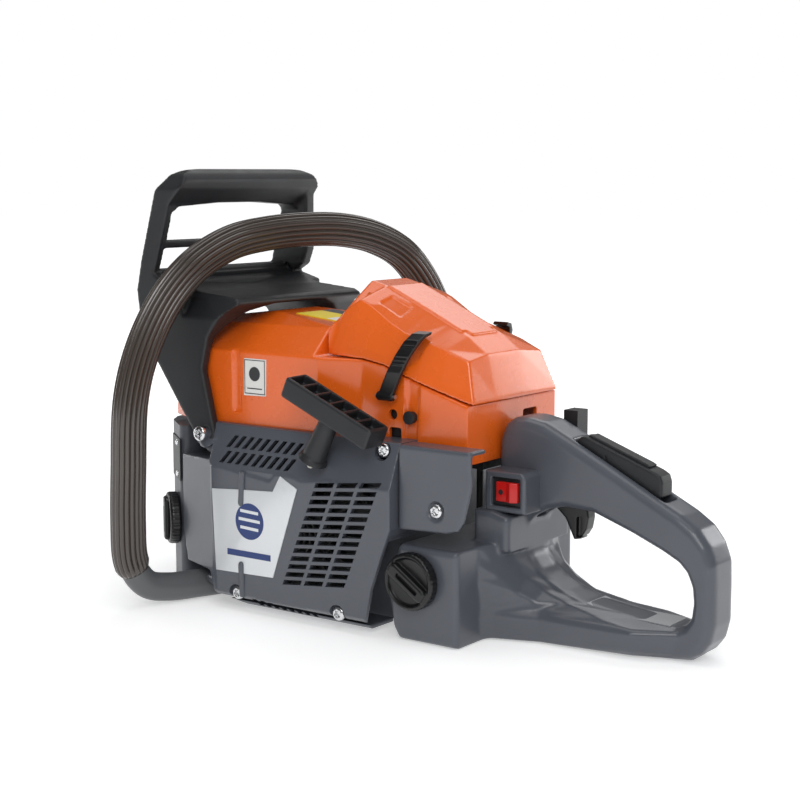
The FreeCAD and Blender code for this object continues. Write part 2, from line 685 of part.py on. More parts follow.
# ---------------------------------------------------------------- intake

carb_z = size("carb_height")
CARB = size("carb_half_width")
THROTTLE_X = -64
CHOKE_X = -89
SHAFT_RADIUS = 2
carb = block((-101, -CARB, 110), (-56, CARB, 148))
carb = rounded(carb, 3, lambda edge: along_axis(edge, X_AXIS))
carb = united([carb, rod((-79, 0, 102), (-79, 0, 112), 9)])
carb_bores = [rod((-110, 0, carb_z), (-50, 0, carb_z), size("venturi_radius"))]
for shaft_x in (THROTTLE_X, CHOKE_X):
    carb_bores.append(rod((shaft_x, -30, carb_z), (shaft_x, 30, carb_z), SHAFT_RADIUS + running))
feature("carburettor", carved(carb, carb_bores))


def butterfly(shaft_x, is_open):
    """A valve disc on its shaft with a lever at the left end."""
    disc_end = Vector(1.2, 0, 0) if not is_open else Vector(0, 0, 1.2)
    start = Vector(shaft_x, 0, carb_z) - disc_end * 0.5
    disc = Part.makeCylinder(size("valve_radius"), 1.2, start, disc_end)
    shaft = rod((shaft_x, -22, carb_z), (shaft_x, 22, carb_z), SHAFT_RADIUS)
    lever = block((shaft_x - 3, 20, carb_z - 3), (shaft_x + 3, 22, carb_z + 11))
    return united([disc, shaft, lever])


feature("throttle_valve", butterfly(THROTTLE_X, False))
feature("choke_valve", butterfly(CHOKE_X, True))
ring("intake_boot", 10, 14.5, Vector(-44, 0, carb_z), -X_AXIS, 12)
elbow = block((-119, -23, 112), (-101, 23, 151)).cut(block((-116, -18, 118), (-100, 18, 152)))
feature("intake_elbow", elbow)
filter_element = prism([(-112, 151), (-52, 151), (-52, 204), (-112, 176)], "y", -38, 38)
feature("air_filter", rounded(filter_element, 5, lambda edge: along_axis(edge, Y_AXIS, 30)))
fuel_line = feature("fuel_line", rod((-94.5, -10, 28), (-94.5, -10, 110), 2.5))
fuel_filter = turned("fuel_filter", [(0, 0), (6, 0), (6, 16), (2, 20), (0, 20)],
                     Vector(-94.5, -10, 8), Z_AXIS)
gathered("fuel_line_and_filter", [fuel_line, fuel_filter])

# ---------------------------------------------------------------- tank and rear handle

LEFT = size("tank_left")
RIGHT = size("tank_right")
TOP = size("tank_top")
tank_side = [(-87, 0), (-82, 8), (-78, 36), (-87, TOP), (-128, TOP), (-128, 0)]
tank = prism(tank_side, "y", -RIGHT, LEFT)
tank = rounded(tank, 9, lambda edge: along_axis(edge, Z_AXIS) and edge.BoundBox.XMax < -120)
tank_hollow = [(-90, 4), (-86, 10), (-82.5, 36), (-90, 62), (-123, 62), (-123, 4)]
handle_outer = [(-126, 0), (-126, 134), (-132, 150), (-160, 149), (-183, 137), (-246, 105), (-277, 89),
                (-286, 79), (-290, 68), (-290, 22), (-284, 10), (-274, 3), (-262, 0)]
handle_inner = [(-200, 90), (-260, 71), (-271, 60), (-275, 48), (-275, 28), (-271, 21), (-263, 18),
                (-197, 29), (-177, 35), (-159, 44), (-150, 56), (-148, 69), (-154, 79), (-164, 86), (-176, 90)]
WIDE = size("handle_half_width")
handle_left = prism(handle_outer, "y", 0, WIDE)
handle_right = prism([(-150, 0), (-150, 149.4)] + handle_outer[3:], "y", -WIDE, 0)


def soft_corner(edge):
    """The long outer edges of a handle half, on its outside face."""
    level = edge.BoundBox
    return abs(level.YMin) > WIDE - 0.1 and abs(level.YMax) > WIDE - 0.1 and level.XMax < -150


handle_left = rounded(handle_left, 6, soft_corner)
handle_right = rounded(handle_right, 6, soft_corner)
hole = prism(handle_inner, "y", -30, 30)
TRIGGER_PIVOT = Vector(-160, 0, 105)
LOCKOUT_PIVOT = Vector(-190, 0, 127)
PIN_RADIUS = 2
LEVER = size("lever_half_width")
LOCK = size("lockout_half_width")
trigger_slot = prism([(-148.5, 80), (-148.5, 118), (-176, 118), (-199, 104), (-199, 80)], "y",
                     -LEVER - 0.7, LEVER + 0.7)
lockout_slot = prism([(-181, 145), (-181, 119), (-252.5, 87), (-252.5, 125)], "y", -LOCK - 0.5, LOCK + 0.5)
handle_cuts = [
    hole,
    trigger_slot,
    lockout_slot,
    rod((TRIGGER_PIVOT.x, -14, TRIGGER_PIVOT.z), (TRIGGER_PIVOT.x, 14, TRIGGER_PIVOT.z), PIN_RADIUS + seat),
    rod((LOCKOUT_PIVOT.x, -14, LOCKOUT_PIVOT.z), (LOCKOUT_PIVOT.x, 14, LOCKOUT_PIVOT.z), PIN_RADIUS + seat),
]
foot_left = [(-127, 60), (-143, 41), (-172, 32), (-203, 30), (-236, 26), (-263, 18), (-279, 9)]
foot_right = [(u, -v) for u, v in reversed(foot_left)]
foot = prism(foot_left[:-1] + [(-276, 9), (-276, -9)] + foot_right[1:], "z", 0, 18)
bowl_levels = [
    (17, [(-110, 79.5), (-142, 46), (-172, 33.5), (-212, 27), (-232, 9)]),
    (23, [(-110, 79.5), (-141, 46), (-171, 31), (-205, 23), (-220, 9)]),
    (28, [(-110, 79.5), (-139, 49), (-167, 32), (-185, 22), (-193, 8)]),
    (34, [(-110, 79), (-137, 52), (-157, 38), (-169, 23), (-175, 8)]),
    (43, [(-110, 79), (-135, 56), (-148, 43), (-156, 26), (-160, 8)]),
    (54, [(-110, 78), (-133, 61), (-142, 46), (-148, 28), (-151, 8)]),
    (65.5, [(-110, 76), (-131, 67), (-138, 49), (-144, 29), (-147.5, 8)]),
]
bowl_wires = []
for level, half in bowl_levels:
    loop = half + [(u, -0.86 * v) for u, v in reversed(half)]
    points = [Vector(u, v, level) for u, v in loop]
    bowl_wires.append(Part.makePolygon(points + points[:1]))
bowl = Part.makeLoft(bowl_wires, True, True)
body_shape = united([
    tank,
    handle_left,
    foot,
    bowl,
    block((-150, -40, 60), (-127, 40, 88)),
    block((-150, -40, 60), (-127, 0, 132)),
    block((-150, -42, 0), (-127, 0, 62)),
])
FUEL_CAP_PLACE = (-102, 43)
tank_cuts = [
    prism(tank_hollow, "y", -RIGHT + 4, LEFT - 4),
    rod((FUEL_CAP_PLACE[0], 70, FUEL_CAP_PLACE[1]), (FUEL_CAP_PLACE[0], 90, FUEL_CAP_PLACE[1]), 14),
    rod((-94.5, -10, 55), (-94.5, -10, 70), 2.6),
]
feature("tank_and_handle", carved(body_shape, handle_cuts + tank_cuts))
feature("rear_handle_right", carved(handle_right, handle_cuts + [foot]))
lever_pins = []
for label, place in (("trigger_pin", TRIGGER_PIVOT), ("lockout_pin", LOCKOUT_PIVOT)):
    lever_pins.append(turned(label, [(0, 0), (PIN_RADIUS, 0), (PIN_RADIUS, 27), (0, 27)],
                             Vector(place.x, -13.5, place.z), Y_AXIS))

trigger_side = [(-154, 109), (-166, 111), (-174, 101), (-191, 90), (-189, 76), (-181, 70), (-176, 80),
                (-166, 89), (-155, 97)]
padded("throttle_trigger", "XZ_Plane", trigger_side, "-sizes.lever_half_width",
       "2 * sizes.lever_half_width",
       holes=[(TRIGGER_PIVOT.x, TRIGGER_PIVOT.z, PIN_RADIUS + running)])
lockout_side = [(-183, 133), (-184, 137), (-189, 140), (-242, 121), (-248, 117), (-248, 105), (-243, 102),
                (-200, 121), (-187, 122)]
padded("throttle_lockout", "XZ_Plane", lockout_side, "-sizes.lockout_half_width",
       "2 * sizes.lockout_half_width",
       holes=[(LOCKOUT_PIVOT.x, LOCKOUT_PIVOT.z, PIN_RADIUS + running)])

housing = block((-160, 18, 88), (-130, 35, 114)).cut(block((-157, 31, 93), (-133, 36, 110)))
feature("switch_housing", housing)
feature("stop_switch", united([block((-154, 31.2, 94), (-137, 34, 109)),
                               block((-152, 33, 96), (-140, 38, 107))]))
feature("choke_knob", united([rod((-98, -27, 139), (-158, -27, 139), 2),
                              block((-168, -34, 134), (-157, -20, 152))]))

panel_side = [(-91, 134), (-145, 131), (-146, 110), (-140, 86), (-127, 79), (-91, 76)]
padded("rear_side_panel", "XZ_Plane", panel_side, "-sizes.tank_left", "sizes.panel_thickness",
       holes=[(-119, 92, 2.4)])
cover_screws.append(turned("panel_screw", [(0, -3), (HEAD, -3), (HEAD, 0), (2, 0), (2, 9), (0, 9)],
                           Vector(-119, LEFT, 92), -Y_AXIS))
gathered("cover_screws", cover_screws)
SPRING_LENGTH = 9.6
springs = []
for side, sign in (("left", 1), ("right", -1)):
    outline = [(6, 0)]
    for index in range(4):
        outline += [(9, (index + 0.25) * SPRING_LENGTH / 4), (9, (index + 0.5) * SPRING_LENGTH / 4),
                    (7.4, (index + 0.75) * SPRING_LENGTH / 4)]
    outline += [(7.4, SPRING_LENGTH), (6, SPRING_LENGTH)]
    springs.append(turned("mount_spring_" + side, outline, Vector(-77.8, sign * 28, 38), X_AXIS))
gathered("mount_springs", springs)

# ---------------------------------------------------------------- caps

CAP = size("cap_radius")


def make_cap(name, seat_point, direction):
    """A screw cap with a grip rib, and its seal behind it."""
    seal_base = seat_point - direction * 6
    ring(name + "_seal", 11.5, 13.6, seal_base, direction, 3)
    disc = Part.makeCylinder(CAP, size("cap_height"), seat_point + direction * 0.3, direction)
    disc = rounded(disc, 2.5, lambda edge: edge.CenterOfMass.distanceToPoint(
        seat_point + direction * (0.3 + size("cap_height"))) < 1)
    plug = Part.makeCylinder(11.2, 10, seat_point - direction * 9, direction)
    side = direction.cross(Z_AXIS).normalize()
    slant = (side + Z_AXIS * 0.9).normalize()
    across = direction.cross(slant)
    corner = seat_point + direction * (size("cap_height") - 1) - slant * (CAP - 3) - across * 4.5
    rib_points = [corner, corner + slant * 2 * (CAP - 3), corner + slant * 2 * (CAP - 3) + across * 9,
                  corner + across * 9]
    rib = Part.Face(Part.makePolygon(rib_points + rib_points[:1])).extrude(direction * 7)
    return united([disc, plug, rib])


FUEL_SEAT = Vector(FUEL_CAP_PLACE[0], LEFT, FUEL_CAP_PLACE[1])
feature("fuel_cap", make_cap("fuel_cap", FUEL_SEAT, Y_AXIS))
feature("oil_cap", make_cap("oil_cap", OIL_CAP_SEAT, OIL_CAP_DIRECTION))

# ---------------------------------------------------------------- clips and pressure release

clip_pins = []
CLIP_FRONT = -58.5
CLIP_WIDTH = 12.5
CLIP_HINGE_HEIGHT = 163
for side, sign in (("left", 1), ("right", -1)):
    clip = [(60.5, 163), (61.2, 180), (60, 192), (54.5, 206), (56.5, 207.5), (63, 195), (64.6, 180),
            (64, 163)]
    points = [Vector(CLIP_FRONT - 0.5 * (v - CLIP_HINGE_HEIGHT), sign * u, v) for u, v in clip]
    strap = Part.Face(Part.makePolygon(points + points[:1])).extrude(Vector(-CLIP_WIDTH, 0, 0))
    back = CLIP_FRONT - CLIP_WIDTH
    knuckle = rod((back, sign * 62.3, CLIP_HINGE_HEIGHT), (CLIP_FRONT, sign * 62.3, CLIP_HINGE_HEIGHT), 3.2)
    bore = rod((back - 12, sign * 62.3, CLIP_HINGE_HEIGHT), (CLIP_FRONT + 12, sign * 62.3, CLIP_HINGE_HEIGHT),
               1.5 + running)
    strap = united([strap, knuckle]).cut(bore)
    feature("filter_clip_" + side, strap)
    clip_pins.append(turned("clip_pin_" + side, [(0, 0), (1.5, 0), (1.5, CLIP_WIDTH + 4), (0, CLIP_WIDTH + 4)],
                            Vector(back - 2, sign * 62.3, CLIP_HINGE_HEIGHT), X_AXIS))
gathered("hinge_pins", lever_pins + clip_pins)
turned("pressure_valve", [(0, 0), (5, 0), (5, 16), (6.5, 16), (6.5, 26), (2.2 + running, 26),
                          (2.2 + running, 12), (0, 12)], Vector(-20, 31, 124), Y_AXIS)
turned("pressure_button", [(0, 0), (2.2, 0), (2.2, 20), (7, 22), (7, 25), (5, 28), (0, 29)],
       Vector(-20, 47, 124), Y_AXIS)

# ---------------------------------------------------------------- front handle and hand guard

OFFSET = size("handle_plane_offset")
SLOPE = size("handle_plane_slope")
plane_route = [(55, 10.6), (75, 10.6), (98, 11), (115, 16), (125.5, 34), (127, 62), (126, 100), (123.5, 150),
               (114, 188), (97, 222), (75, 247), (48, 263), (20, 269.5), (-12, 272), (-40, 271),
               (-66, 265), (-90, 252), (-108, 230)]
handle_route = [(OFFSET + SLOPE * y, y, z) for y, z in plane_route]
handle_route += [(20, -119, 203), (11, -123, 172), (-6, -123.5, 140), (-30, -122, 112), (-56, -118, 90),
                 (-80, -106, 73), (-94, -90, 61), (-99, -76, 54)]
TUBE = size("tube_radius")
GRIP = size("grip_radius")
feature("front_handle_tube", swept(handle_route, TUBE))
grip_points = handle_route[3:20]
grip = swept(grip_points, GRIP).cut(swept(handle_route, TUBE + seat))
feature("front_handle_grip", grip)

GUARD = size("guard_half_width")
ARM = size("guard_arm_thickness")
frame_side = [(108, 314), (114, 318), (122, 316), (134, 302), (150, 250), (155, 227), (139, 231), (134, 250),
              (123, 291), (112, 306)]
frame = prism(frame_side, "y", -GUARD, GUARD)
window = GUARD - 13
for low, high in ((240, 261.5), (266.5, 291)):
    frame = frame.cut(block((90, -window, low), (170, window, high)))
shelf = prism([(58, 220), (77, 217), (110, 219), (148, 214), (155, 227), (139, 242), (128, 234), (100, 228),
               (62, 224)], "y", -GUARD, GUARD)
arm_side = [(155, 228), (151, 197), (107, 137), (93, 121), (87, 118.2), (81, 121), (79.4, 127), (96, 193),
            (96, 206), (120, 228), (139, 240)]
arms = []
for sign in (1, -1):
    low = min(sign * (GUARD - ARM), sign * GUARD)
    arm = prism(arm_side, "y", low, low + ARM)
    arms.append(arm.cut(rod((pivot_x, sign * 60, pivot_z), (pivot_x, sign * 95, pivot_z),
                            pivot_r + running)))
webs = []
corner_side = [(155, 229), (151, 197), (108, 137), (97, 140), (90, 172), (84, 196), (70, 214), (60, 220),
               (64, 224.5), (100, 228), (128, 236), (140, 240)]
for sign in (1, -1):
    web = [(GUARD, 236), (GUARD, 128), (72.5, 128), (72.5, 189), (70, 197), (64, 205), (50, 213.5),
           (28, 219), (0, 219.5), (0, 230)]
    web = prism([(sign * u, v) for u, v in web], "x", 50, 170)
    web = web.common(prism(corner_side, "y", -GUARD, GUARD))
    webs.append(web.cut(rod((pivot_x, sign * 60, pivot_z), (pivot_x, sign * 95, pivot_z), 12)))
guard = united([frame, shelf] + arms + webs)
for sign in (1, -1):
    low = min(sign * 70, sign * 95)
    guard = guard.cut(block((50, low, 212), (123, low + 25, 250)))
feature("hand_guard", guard)

# ---------------------------------------------------------------- check and export

doc.recompute()
for thing in doc.Objects:
    if "Invalid" in thing.State or "Error" in thing.State:
        raise RuntimeError("object not valid: " + thing.Label)
for thing in PARTS:
    shape = thing.Shape
    if shape.isNull() or not shape.isValid():
        raise RuntimeError("shape not valid: " + thing.Label)
    shape.exportStep("parts/%s.step" % thing.Label)
print("exported", len(PARTS))
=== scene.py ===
import json
import math

import bmesh
import bpy
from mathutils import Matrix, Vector


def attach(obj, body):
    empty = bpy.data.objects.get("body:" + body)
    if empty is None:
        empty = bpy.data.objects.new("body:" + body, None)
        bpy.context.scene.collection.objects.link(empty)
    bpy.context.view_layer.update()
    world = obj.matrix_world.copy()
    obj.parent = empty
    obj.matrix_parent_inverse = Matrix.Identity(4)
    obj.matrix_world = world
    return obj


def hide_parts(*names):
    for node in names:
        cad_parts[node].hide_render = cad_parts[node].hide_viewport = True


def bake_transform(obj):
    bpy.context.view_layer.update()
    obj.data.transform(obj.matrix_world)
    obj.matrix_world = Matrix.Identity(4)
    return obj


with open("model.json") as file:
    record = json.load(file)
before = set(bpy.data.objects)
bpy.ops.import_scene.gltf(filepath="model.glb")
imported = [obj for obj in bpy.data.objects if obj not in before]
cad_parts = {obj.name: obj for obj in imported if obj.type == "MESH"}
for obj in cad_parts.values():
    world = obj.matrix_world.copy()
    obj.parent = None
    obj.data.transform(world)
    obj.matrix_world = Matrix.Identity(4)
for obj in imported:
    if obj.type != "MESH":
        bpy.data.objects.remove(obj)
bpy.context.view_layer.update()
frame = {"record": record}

# A chainsaw power head. Shapes are drawn in millimetres and stored in metres.
MM = 0.001
ROOT = "power_head"

# ---------------------------------------------------------------- materials


def principled(name):
    """A new material with its shader and node tree."""
    material = bpy.data.materials.new(name)
    material.use_nodes = True
    tree = material.node_tree
    return material, tree, tree.nodes["Principled BSDF"]


def noise_node(tree, scale, detail=4.0, roughness=0.55):
    """Noise in object coordinates, scale in waves per metre."""
    place = tree.nodes.new("ShaderNodeTexCoord")
    noise = tree.nodes.new("ShaderNodeTexNoise")
    noise.inputs["Scale"].default_value = scale
    noise.inputs["Detail"].default_value = detail
    noise.inputs["Roughness"].default_value = roughness
    tree.links.new(place.outputs["Object"], noise.inputs["Vector"])
    return noise


def ramp_between(tree, source, low, high, first, second):
    """A colour ramp from one colour to another between two values of a source."""
    ramp = tree.nodes.new("ShaderNodeValToRGB")
    ramp.color_ramp.elements[0].position = low
    ramp.color_ramp.elements[1].position = high
    ramp.color_ramp.elements[0].color = (*first, 1.0)
    ramp.color_ramp.elements[1].color = (*second, 1.0)
    tree.links.new(source, ramp.inputs["Fac"])
    return ramp


def surface(name, color, rough=0.4, grain=2200.0, grain_depth=0.06, mottle=0.06, rough_spread=0.08,
            metallic=0.0, coat=0.0, wear=0.0):
    """A moulded or cast surface with colour mottle, uneven gloss, fine grain and worn edges."""
    material, tree, shader = principled(name)
    links = tree.links
    broad = noise_node(tree, 18.0)
    darker = tuple(c * (1.0 - mottle) for c in color)
    lighter = tuple(min(1.0, c * (1.0 + mottle)) for c in color)
    tint = ramp_between(tree, broad.outputs["Fac"], 0.3, 0.7, darker, lighter)
    colour_out = tint.outputs["Color"]
    if wear > 0.0:
        form = tree.nodes.new("ShaderNodeNewGeometry")
        scratch = noise_node(tree, 260.0)
        mask = tree.nodes.new("ShaderNodeMath")
        mask.operation = "MULTIPLY"
        edge = ramp_between(tree, form.outputs["Pointiness"], 0.53, 0.60, (0, 0, 0), (1, 1, 1))
        links.new(edge.outputs["Color"], mask.inputs[0])
        links.new(scratch.outputs["Fac"], mask.inputs[1])
        blend = tree.nodes.new("ShaderNodeMix")
        blend.data_type = "RGBA"
        amount = tree.nodes.new("ShaderNodeMath")
        amount.operation = "MULTIPLY"
        amount.inputs[1].default_value = wear
        links.new(mask.outputs["Value"], amount.inputs[0])
        links.new(amount.outputs["Value"], blend.inputs["Factor"])
        links.new(colour_out, blend.inputs["A"])
        blend.inputs["B"].default_value = (*[min(1.0, c * 1.6 + 0.08) for c in color], 1.0)
        colour_out = blend.outputs["Result"]
    links.new(colour_out, shader.inputs["Base Color"])
    gloss = noise_node(tree, 60.0)
    span = tree.nodes.new("ShaderNodeMapRange")
    span.inputs["To Min"].default_value = max(0.02, rough - rough_spread)
    span.inputs["To Max"].default_value = min(1.0, rough + rough_spread)
    links.new(gloss.outputs["Fac"], span.inputs["Value"])
    links.new(span.outputs["Result"], shader.inputs["Roughness"])
    fine = noise_node(tree, grain, 2.0)
    bump = tree.nodes.new("ShaderNodeBump")
    bump.inputs["Strength"].default_value = grain_depth
    bump.inputs["Distance"].default_value = 0.0004
    links.new(fine.outputs["Fac"], bump.inputs["Height"])
    links.new(bump.outputs["Normal"], shader.inputs["Normal"])
    shader.inputs["Metallic"].default_value = metallic
    shader.inputs["Coat Weight"].default_value = coat
    shader.inputs["Coat Roughness"].default_value = 0.12
    return material


ORANGE = surface("orange_moulding", (0.76, 0.120, 0.008), 0.27, 2600.0, 0.02, 0.03, 0.04, coat=0.45)
GREY = surface("grey_moulding", (0.078, 0.085, 0.102), 0.32, 2400.0, 0.05, 0.05, 0.06, coat=0.12, wear=0.10)
CASTING = surface("painted_casting", (0.066, 0.072, 0.086), 0.46, 1500.0, 0.22, 0.07, 0.08, wear=0.18)
BLACK = surface("black_moulding", (0.014, 0.015, 0.017), 0.50, 1900.0, 0.20, 0.10, 0.08, wear=0.10)
BLACK_GLOSS = surface("black_gloss_moulding", (0.006, 0.006, 0.007), 0.30, 2200.0, 0.05, 0.08, 0.06)
GRIP = surface("grip_sleeve", (0.048, 0.037, 0.030), 0.20, 2600.0, 0.02, 0.10, 0.05, coat=0.6)
TUBE = surface("painted_tube", (0.10, 0.105, 0.11), 0.38, 2400.0, 0.10, 0.06, 0.07, wear=0.12)
STEEL = surface("machined_steel", (0.50, 0.50, 0.50), 0.34, 900.0, 0.15, 0.08, 0.10, metallic=1.0)
ZINC = surface("bright_zinc", (0.74, 0.75, 0.76), 0.22, 1500.0, 0.06, 0.06, 0.08, metallic=1.0)
CAST_ALUMINIUM = surface("cast_aluminium", (0.55, 0.56, 0.57), 0.48, 1100.0, 0.30, 0.07, 0.08, metallic=1.0)
BURNT_BLACK = surface("heatproof_black", (0.022, 0.021, 0.020), 0.62, 1200.0, 0.25, 0.15, 0.10)
RUBBER = surface("black_rubber", (0.016, 0.016, 0.016), 0.62, 1400.0, 0.15, 0.10, 0.08)
RED = surface("red_moulding", (0.55, 0.012, 0.010), 0.30, 2400.0, 0.04, 0.05, 0.05)
ROPE = surface("braided_cord", (0.62, 0.60, 0.55), 0.80, 900.0, 0.60, 0.10, 0.06)
FELT = surface("filter_felt", (0.60, 0.57, 0.48), 0.85, 1300.0, 0.50, 0.08, 0.05)
PLATE = surface("label_silver", (0.70, 0.72, 0.74), 0.34, 2600.0, 0.02, 0.02, 0.04, metallic=0.25)
PLATE_BLUE = surface("label_blue", (0.012, 0.035, 0.16), 0.32, 2600.0, 0.02, 0.04, 0.04)
STICKER = surface("sticker_light", (0.72, 0.71, 0.68), 0.42, 2400.0, 0.03, 0.03, 0.04)
STICKER_DARK = surface("sticker_dark", (0.03, 0.03, 0.032), 0.42, 2400.0, 0.03, 0.03, 0.04)
STICKER_YELLOW = surface("sticker_yellow", (0.80, 0.62, 0.02), 0.40, 2400.0, 0.03, 0.03, 0.04)
STICKER_GREY = surface("sticker_grey", (0.36, 0.37, 0.38), 0.45, 2400.0, 0.03, 0.03, 0.04)
CERAMIC = surface("plug_ceramic", (0.72, 0.70, 0.66), 0.25, 1800.0, 0.03, 0.03, 0.04)

NODE_MATERIAL = {
    "body_grey": GREY, "case_metal": CASTING, "orange": ORANGE, "black": BLACK, "red": RED,
    "grip_rubber": GRIP, "tube_paint": TUBE, "steel": STEEL, "zinc": ZINC, "aluminium": CAST_ALUMINIUM,
    "muffler_black": BURNT_BLACK, "label": PLATE, "seal_rubber": RUBBER, "filter_cloth": FELT,
    "rope": ROPE, "ceramic": CERAMIC,
}
# Parts behind the starter cover's slots get one dark grey instead of their own finish. This is painted shade:
# the real aluminium flywheel and the starter parts look dark only from the shadow they sit in.
SHADED = surface("painted_shade_grey", (0.045, 0.045, 0.047), 0.55, 1100.0, 0.20, 0.10, 0.08)
IN_THE_DARK = ("flywheel", "starter_pulley", "recoil_spring", "ignition_coil")
for entry in frame["record"]["subparts"]:
    node_object = bpy.data.objects.get(entry["node"])
    if node_object is None or node_object.type != "MESH":
        continue
    if not node_object.material_slots:
        node_object.data.materials.append(None)
    for material_slot in node_object.material_slots:
        # Nodes listed in IN_THE_DARK take the painted shade material.
        in_painted_shade = entry["node"] in IN_THE_DARK
        material_slot.material = SHADED if in_painted_shade else NODE_MATERIAL[entry["material_slot"]]

# ---------------------------------------------------------------- mesh helpers


def new_object(name, verts, faces, material=None):
    """A mesh object from points in millimetres."""
    mesh = bpy.data.meshes.new(name)
    mesh.from_pydata([tuple(c * MM for c in point) for point in verts], [], faces)
    mesh.validate()
    work = bmesh.new()
    work.from_mesh(mesh)
    bmesh.ops.recalc_face_normals(work, faces=work.faces)
    work.to_mesh(mesh)
    work.free()
    item = bpy.data.objects.new(name, mesh)
    bpy.context.scene.collection.objects.link(item)
    if material is not None:
        mesh.materials.append(material)
    return item


def bake(item):
    """Turns an object's modifiers into its mesh."""
    graph = bpy.context.evaluated_depsgraph_get()
    graph.update()
    mesh = bpy.data.meshes.new_from_object(item.evaluated_get(graph))
    item.modifiers.clear()
    old = item.data
    item.data = mesh
    bpy.data.meshes.remove(old)
    return item


def discard(item):
    """Removes a helper object and its mesh."""
    mesh = item.data
    bpy.data.objects.remove(item)
    bpy.data.meshes.remove(mesh)


def shade(item, angle=35.0):
    """Smooth shading that keeps edges sharper than an angle."""
    work = bmesh.new()
    work.from_mesh(item.data)
    for face in work.faces:
        face.smooth = True
    limit = math.radians(angle)
    for edge in work.edges:
        if len(edge.link_faces) == 2 and edge.calc_face_angle(0.0) > limit:
            edge.smooth = False
    work.to_mesh(item.data)
    work.free()
    return item


def stacked(loops):
    """A skin over loops of equally many points, capped at both ends."""
    count = len(loops[0])
    verts = [point for loop in loops for point in loop]
    faces = []
    for level in range(len(loops) - 1):
        for index in range(count):
            after = (index + 1) % count
            low = level * count
            high = low + count
            faces.append((low + index, low + after, high + after, high + index))
    faces.append(tuple(reversed(range(count))))
    last = (len(loops) - 1) * count
    faces.append(tuple(last + index for index in range(count)))
    return verts, faces


PLACERS = {
    "x": lambda u, v, w: (w, u, v),
    "y": lambda u, v, w: (u, w, v),
    "z": lambda u, v, w: (u, v, w),
}


def slab(outline, axis, low, high):
    """An outline of the other two axes, in the order X, Y, Z, stretched along one axis."""
    place = PLACERS[axis]
    return stacked([[place(u, v, level) for u, v in outline] for level in (low, high)])


def loft(levels, axis):
    """A skin over (level, outline) pairs along an axis."""
    place = PLACERS[axis]
    return stacked([[place(u, v, level) for u, v in outline] for level, outline in levels])


def box(low, high):
    """A box between two corners."""
    outline = [(low[0], low[1]), (high[0], low[1]), (high[0], high[1]), (low[0], high[1])]
    return slab(outline, "z", low[2], high[2])


def bar(start, end, radius, end_radius=None, sides=32):
    """A round bar between two points, tapered if its end has its own radius."""
    start = Vector(start)
    end = Vector(end)
    heading = (end - start).normalized()
    side = heading.orthogonal().normalized()
    up = heading.cross(side)
    loops = []
    for centre, reach in ((start, radius), (end, radius if end_radius is None else end_radius)):
        loop = []
        for index in range(sides):
            angle = 2.0 * math.pi * index / sides
            loop.append(tuple(centre + side * reach * math.cos(angle) + up * reach * math.sin(angle)))
        loops.append(loop)
    return stacked(loops)


def turned(profile, base, direction, sides=48):
    """A body turned about a direction from (radius, height) points."""
    base = Vector(base)
    direction = Vector(direction).normalized()
    side = direction.orthogonal().normalized()
    up = direction.cross(side)
    loops = []
    for reach, height in profile:
        reach = max(reach, 0.01)
        loop = []
        for index in range(sides):
            angle = 2.0 * math.pi * index / sides
            offset = side * reach * math.cos(angle) + up * reach * math.sin(angle)
            loop.append(tuple(base + direction * height + offset))
        loops.append(loop)
    return stacked(loops)


def merged(parts):
    """One list of points and faces from several."""
    verts = []
    faces = []
    for part_verts, part_faces in parts:
        start = len(verts)
        verts.extend(part_verts)
        faces.extend(tuple(start + index for index in face) for face in part_faces)
    return verts, faces


def cut_away(item, cuts, operation="DIFFERENCE"):
    """Cuts shapes out of an object."""
    tool = new_object("cutting_tool", *merged(cuts))
    change = item.modifiers.new("cut", "BOOLEAN")
    change.operation = operation
    change.solver = "EXACT"
    change.use_self = True
    change.object = tool
    bake(item)
    discard(tool)
    return item


def moulded(name, adds, cuts, voxel, rounds, material, keep_ratio=0.4, meets=()):
    """A moulded part: shapes joined, cut, then rounded over all of their edges."""
    item = new_object(name, *merged(adds))
    for shape in meets:
        cut_away(item, [shape], "INTERSECT")
    if cuts:
        cut_away(item, cuts)
    mesh_again = item.modifiers.new("even", "REMESH")
    mesh_again.mode = "VOXEL"
    mesh_again.voxel_size = voxel * MM
    soften = item.modifiers.new("soften", "SMOOTH")
    soften.factor = 0.5
    soften.iterations = rounds
    lighter = item.modifiers.new("lighter", "DECIMATE")
    lighter.ratio = keep_ratio
    bake(item)
    item.data.materials.clear()
    item.data.materials.append(material)
    shade(item, 50.0)
    return item


def crisp(name, adds, material, width, segments):
    """A part with bevelled edges."""
    item = new_object(name, *merged(adds))
    edge = item.modifiers.new("edge", "BEVEL")
    edge.width = width * MM
    edge.segments = segments
    edge.limit_method = "ANGLE"
    edge.angle_limit = math.radians(30.0)
    edge.harden_normals = False
    bake(item)
    item.data.materials.clear()
    item.data.materials.append(material)
    shade(item, 32.0)
    return item


def smooth_route(points, steps):
    """Points along a smooth line through the given ones."""
    ends = [tuple(2 * a - b for a, b in zip(points[0], points[1]))]
    ends += list(points)
    ends += [tuple(2 * a - b for a, b in zip(points[-1], points[-2]))]
    route = []
    for index in range(1, len(ends) - 2):
        p0, p1, p2, p3 = (Vector(ends[index + shift]) for shift in (-1, 0, 1, 2))
        for step in range(steps):
            t = step / steps
            route.append(0.5 * ((2 * p1) + (p2 - p0) * t + (2 * p0 - 5 * p1 + 4 * p2 - p3) * t * t
                                + (3 * p1 - 3 * p2 + p3 - p0) * t * t * t))
    route.append(Vector(points[-1]))
    return route


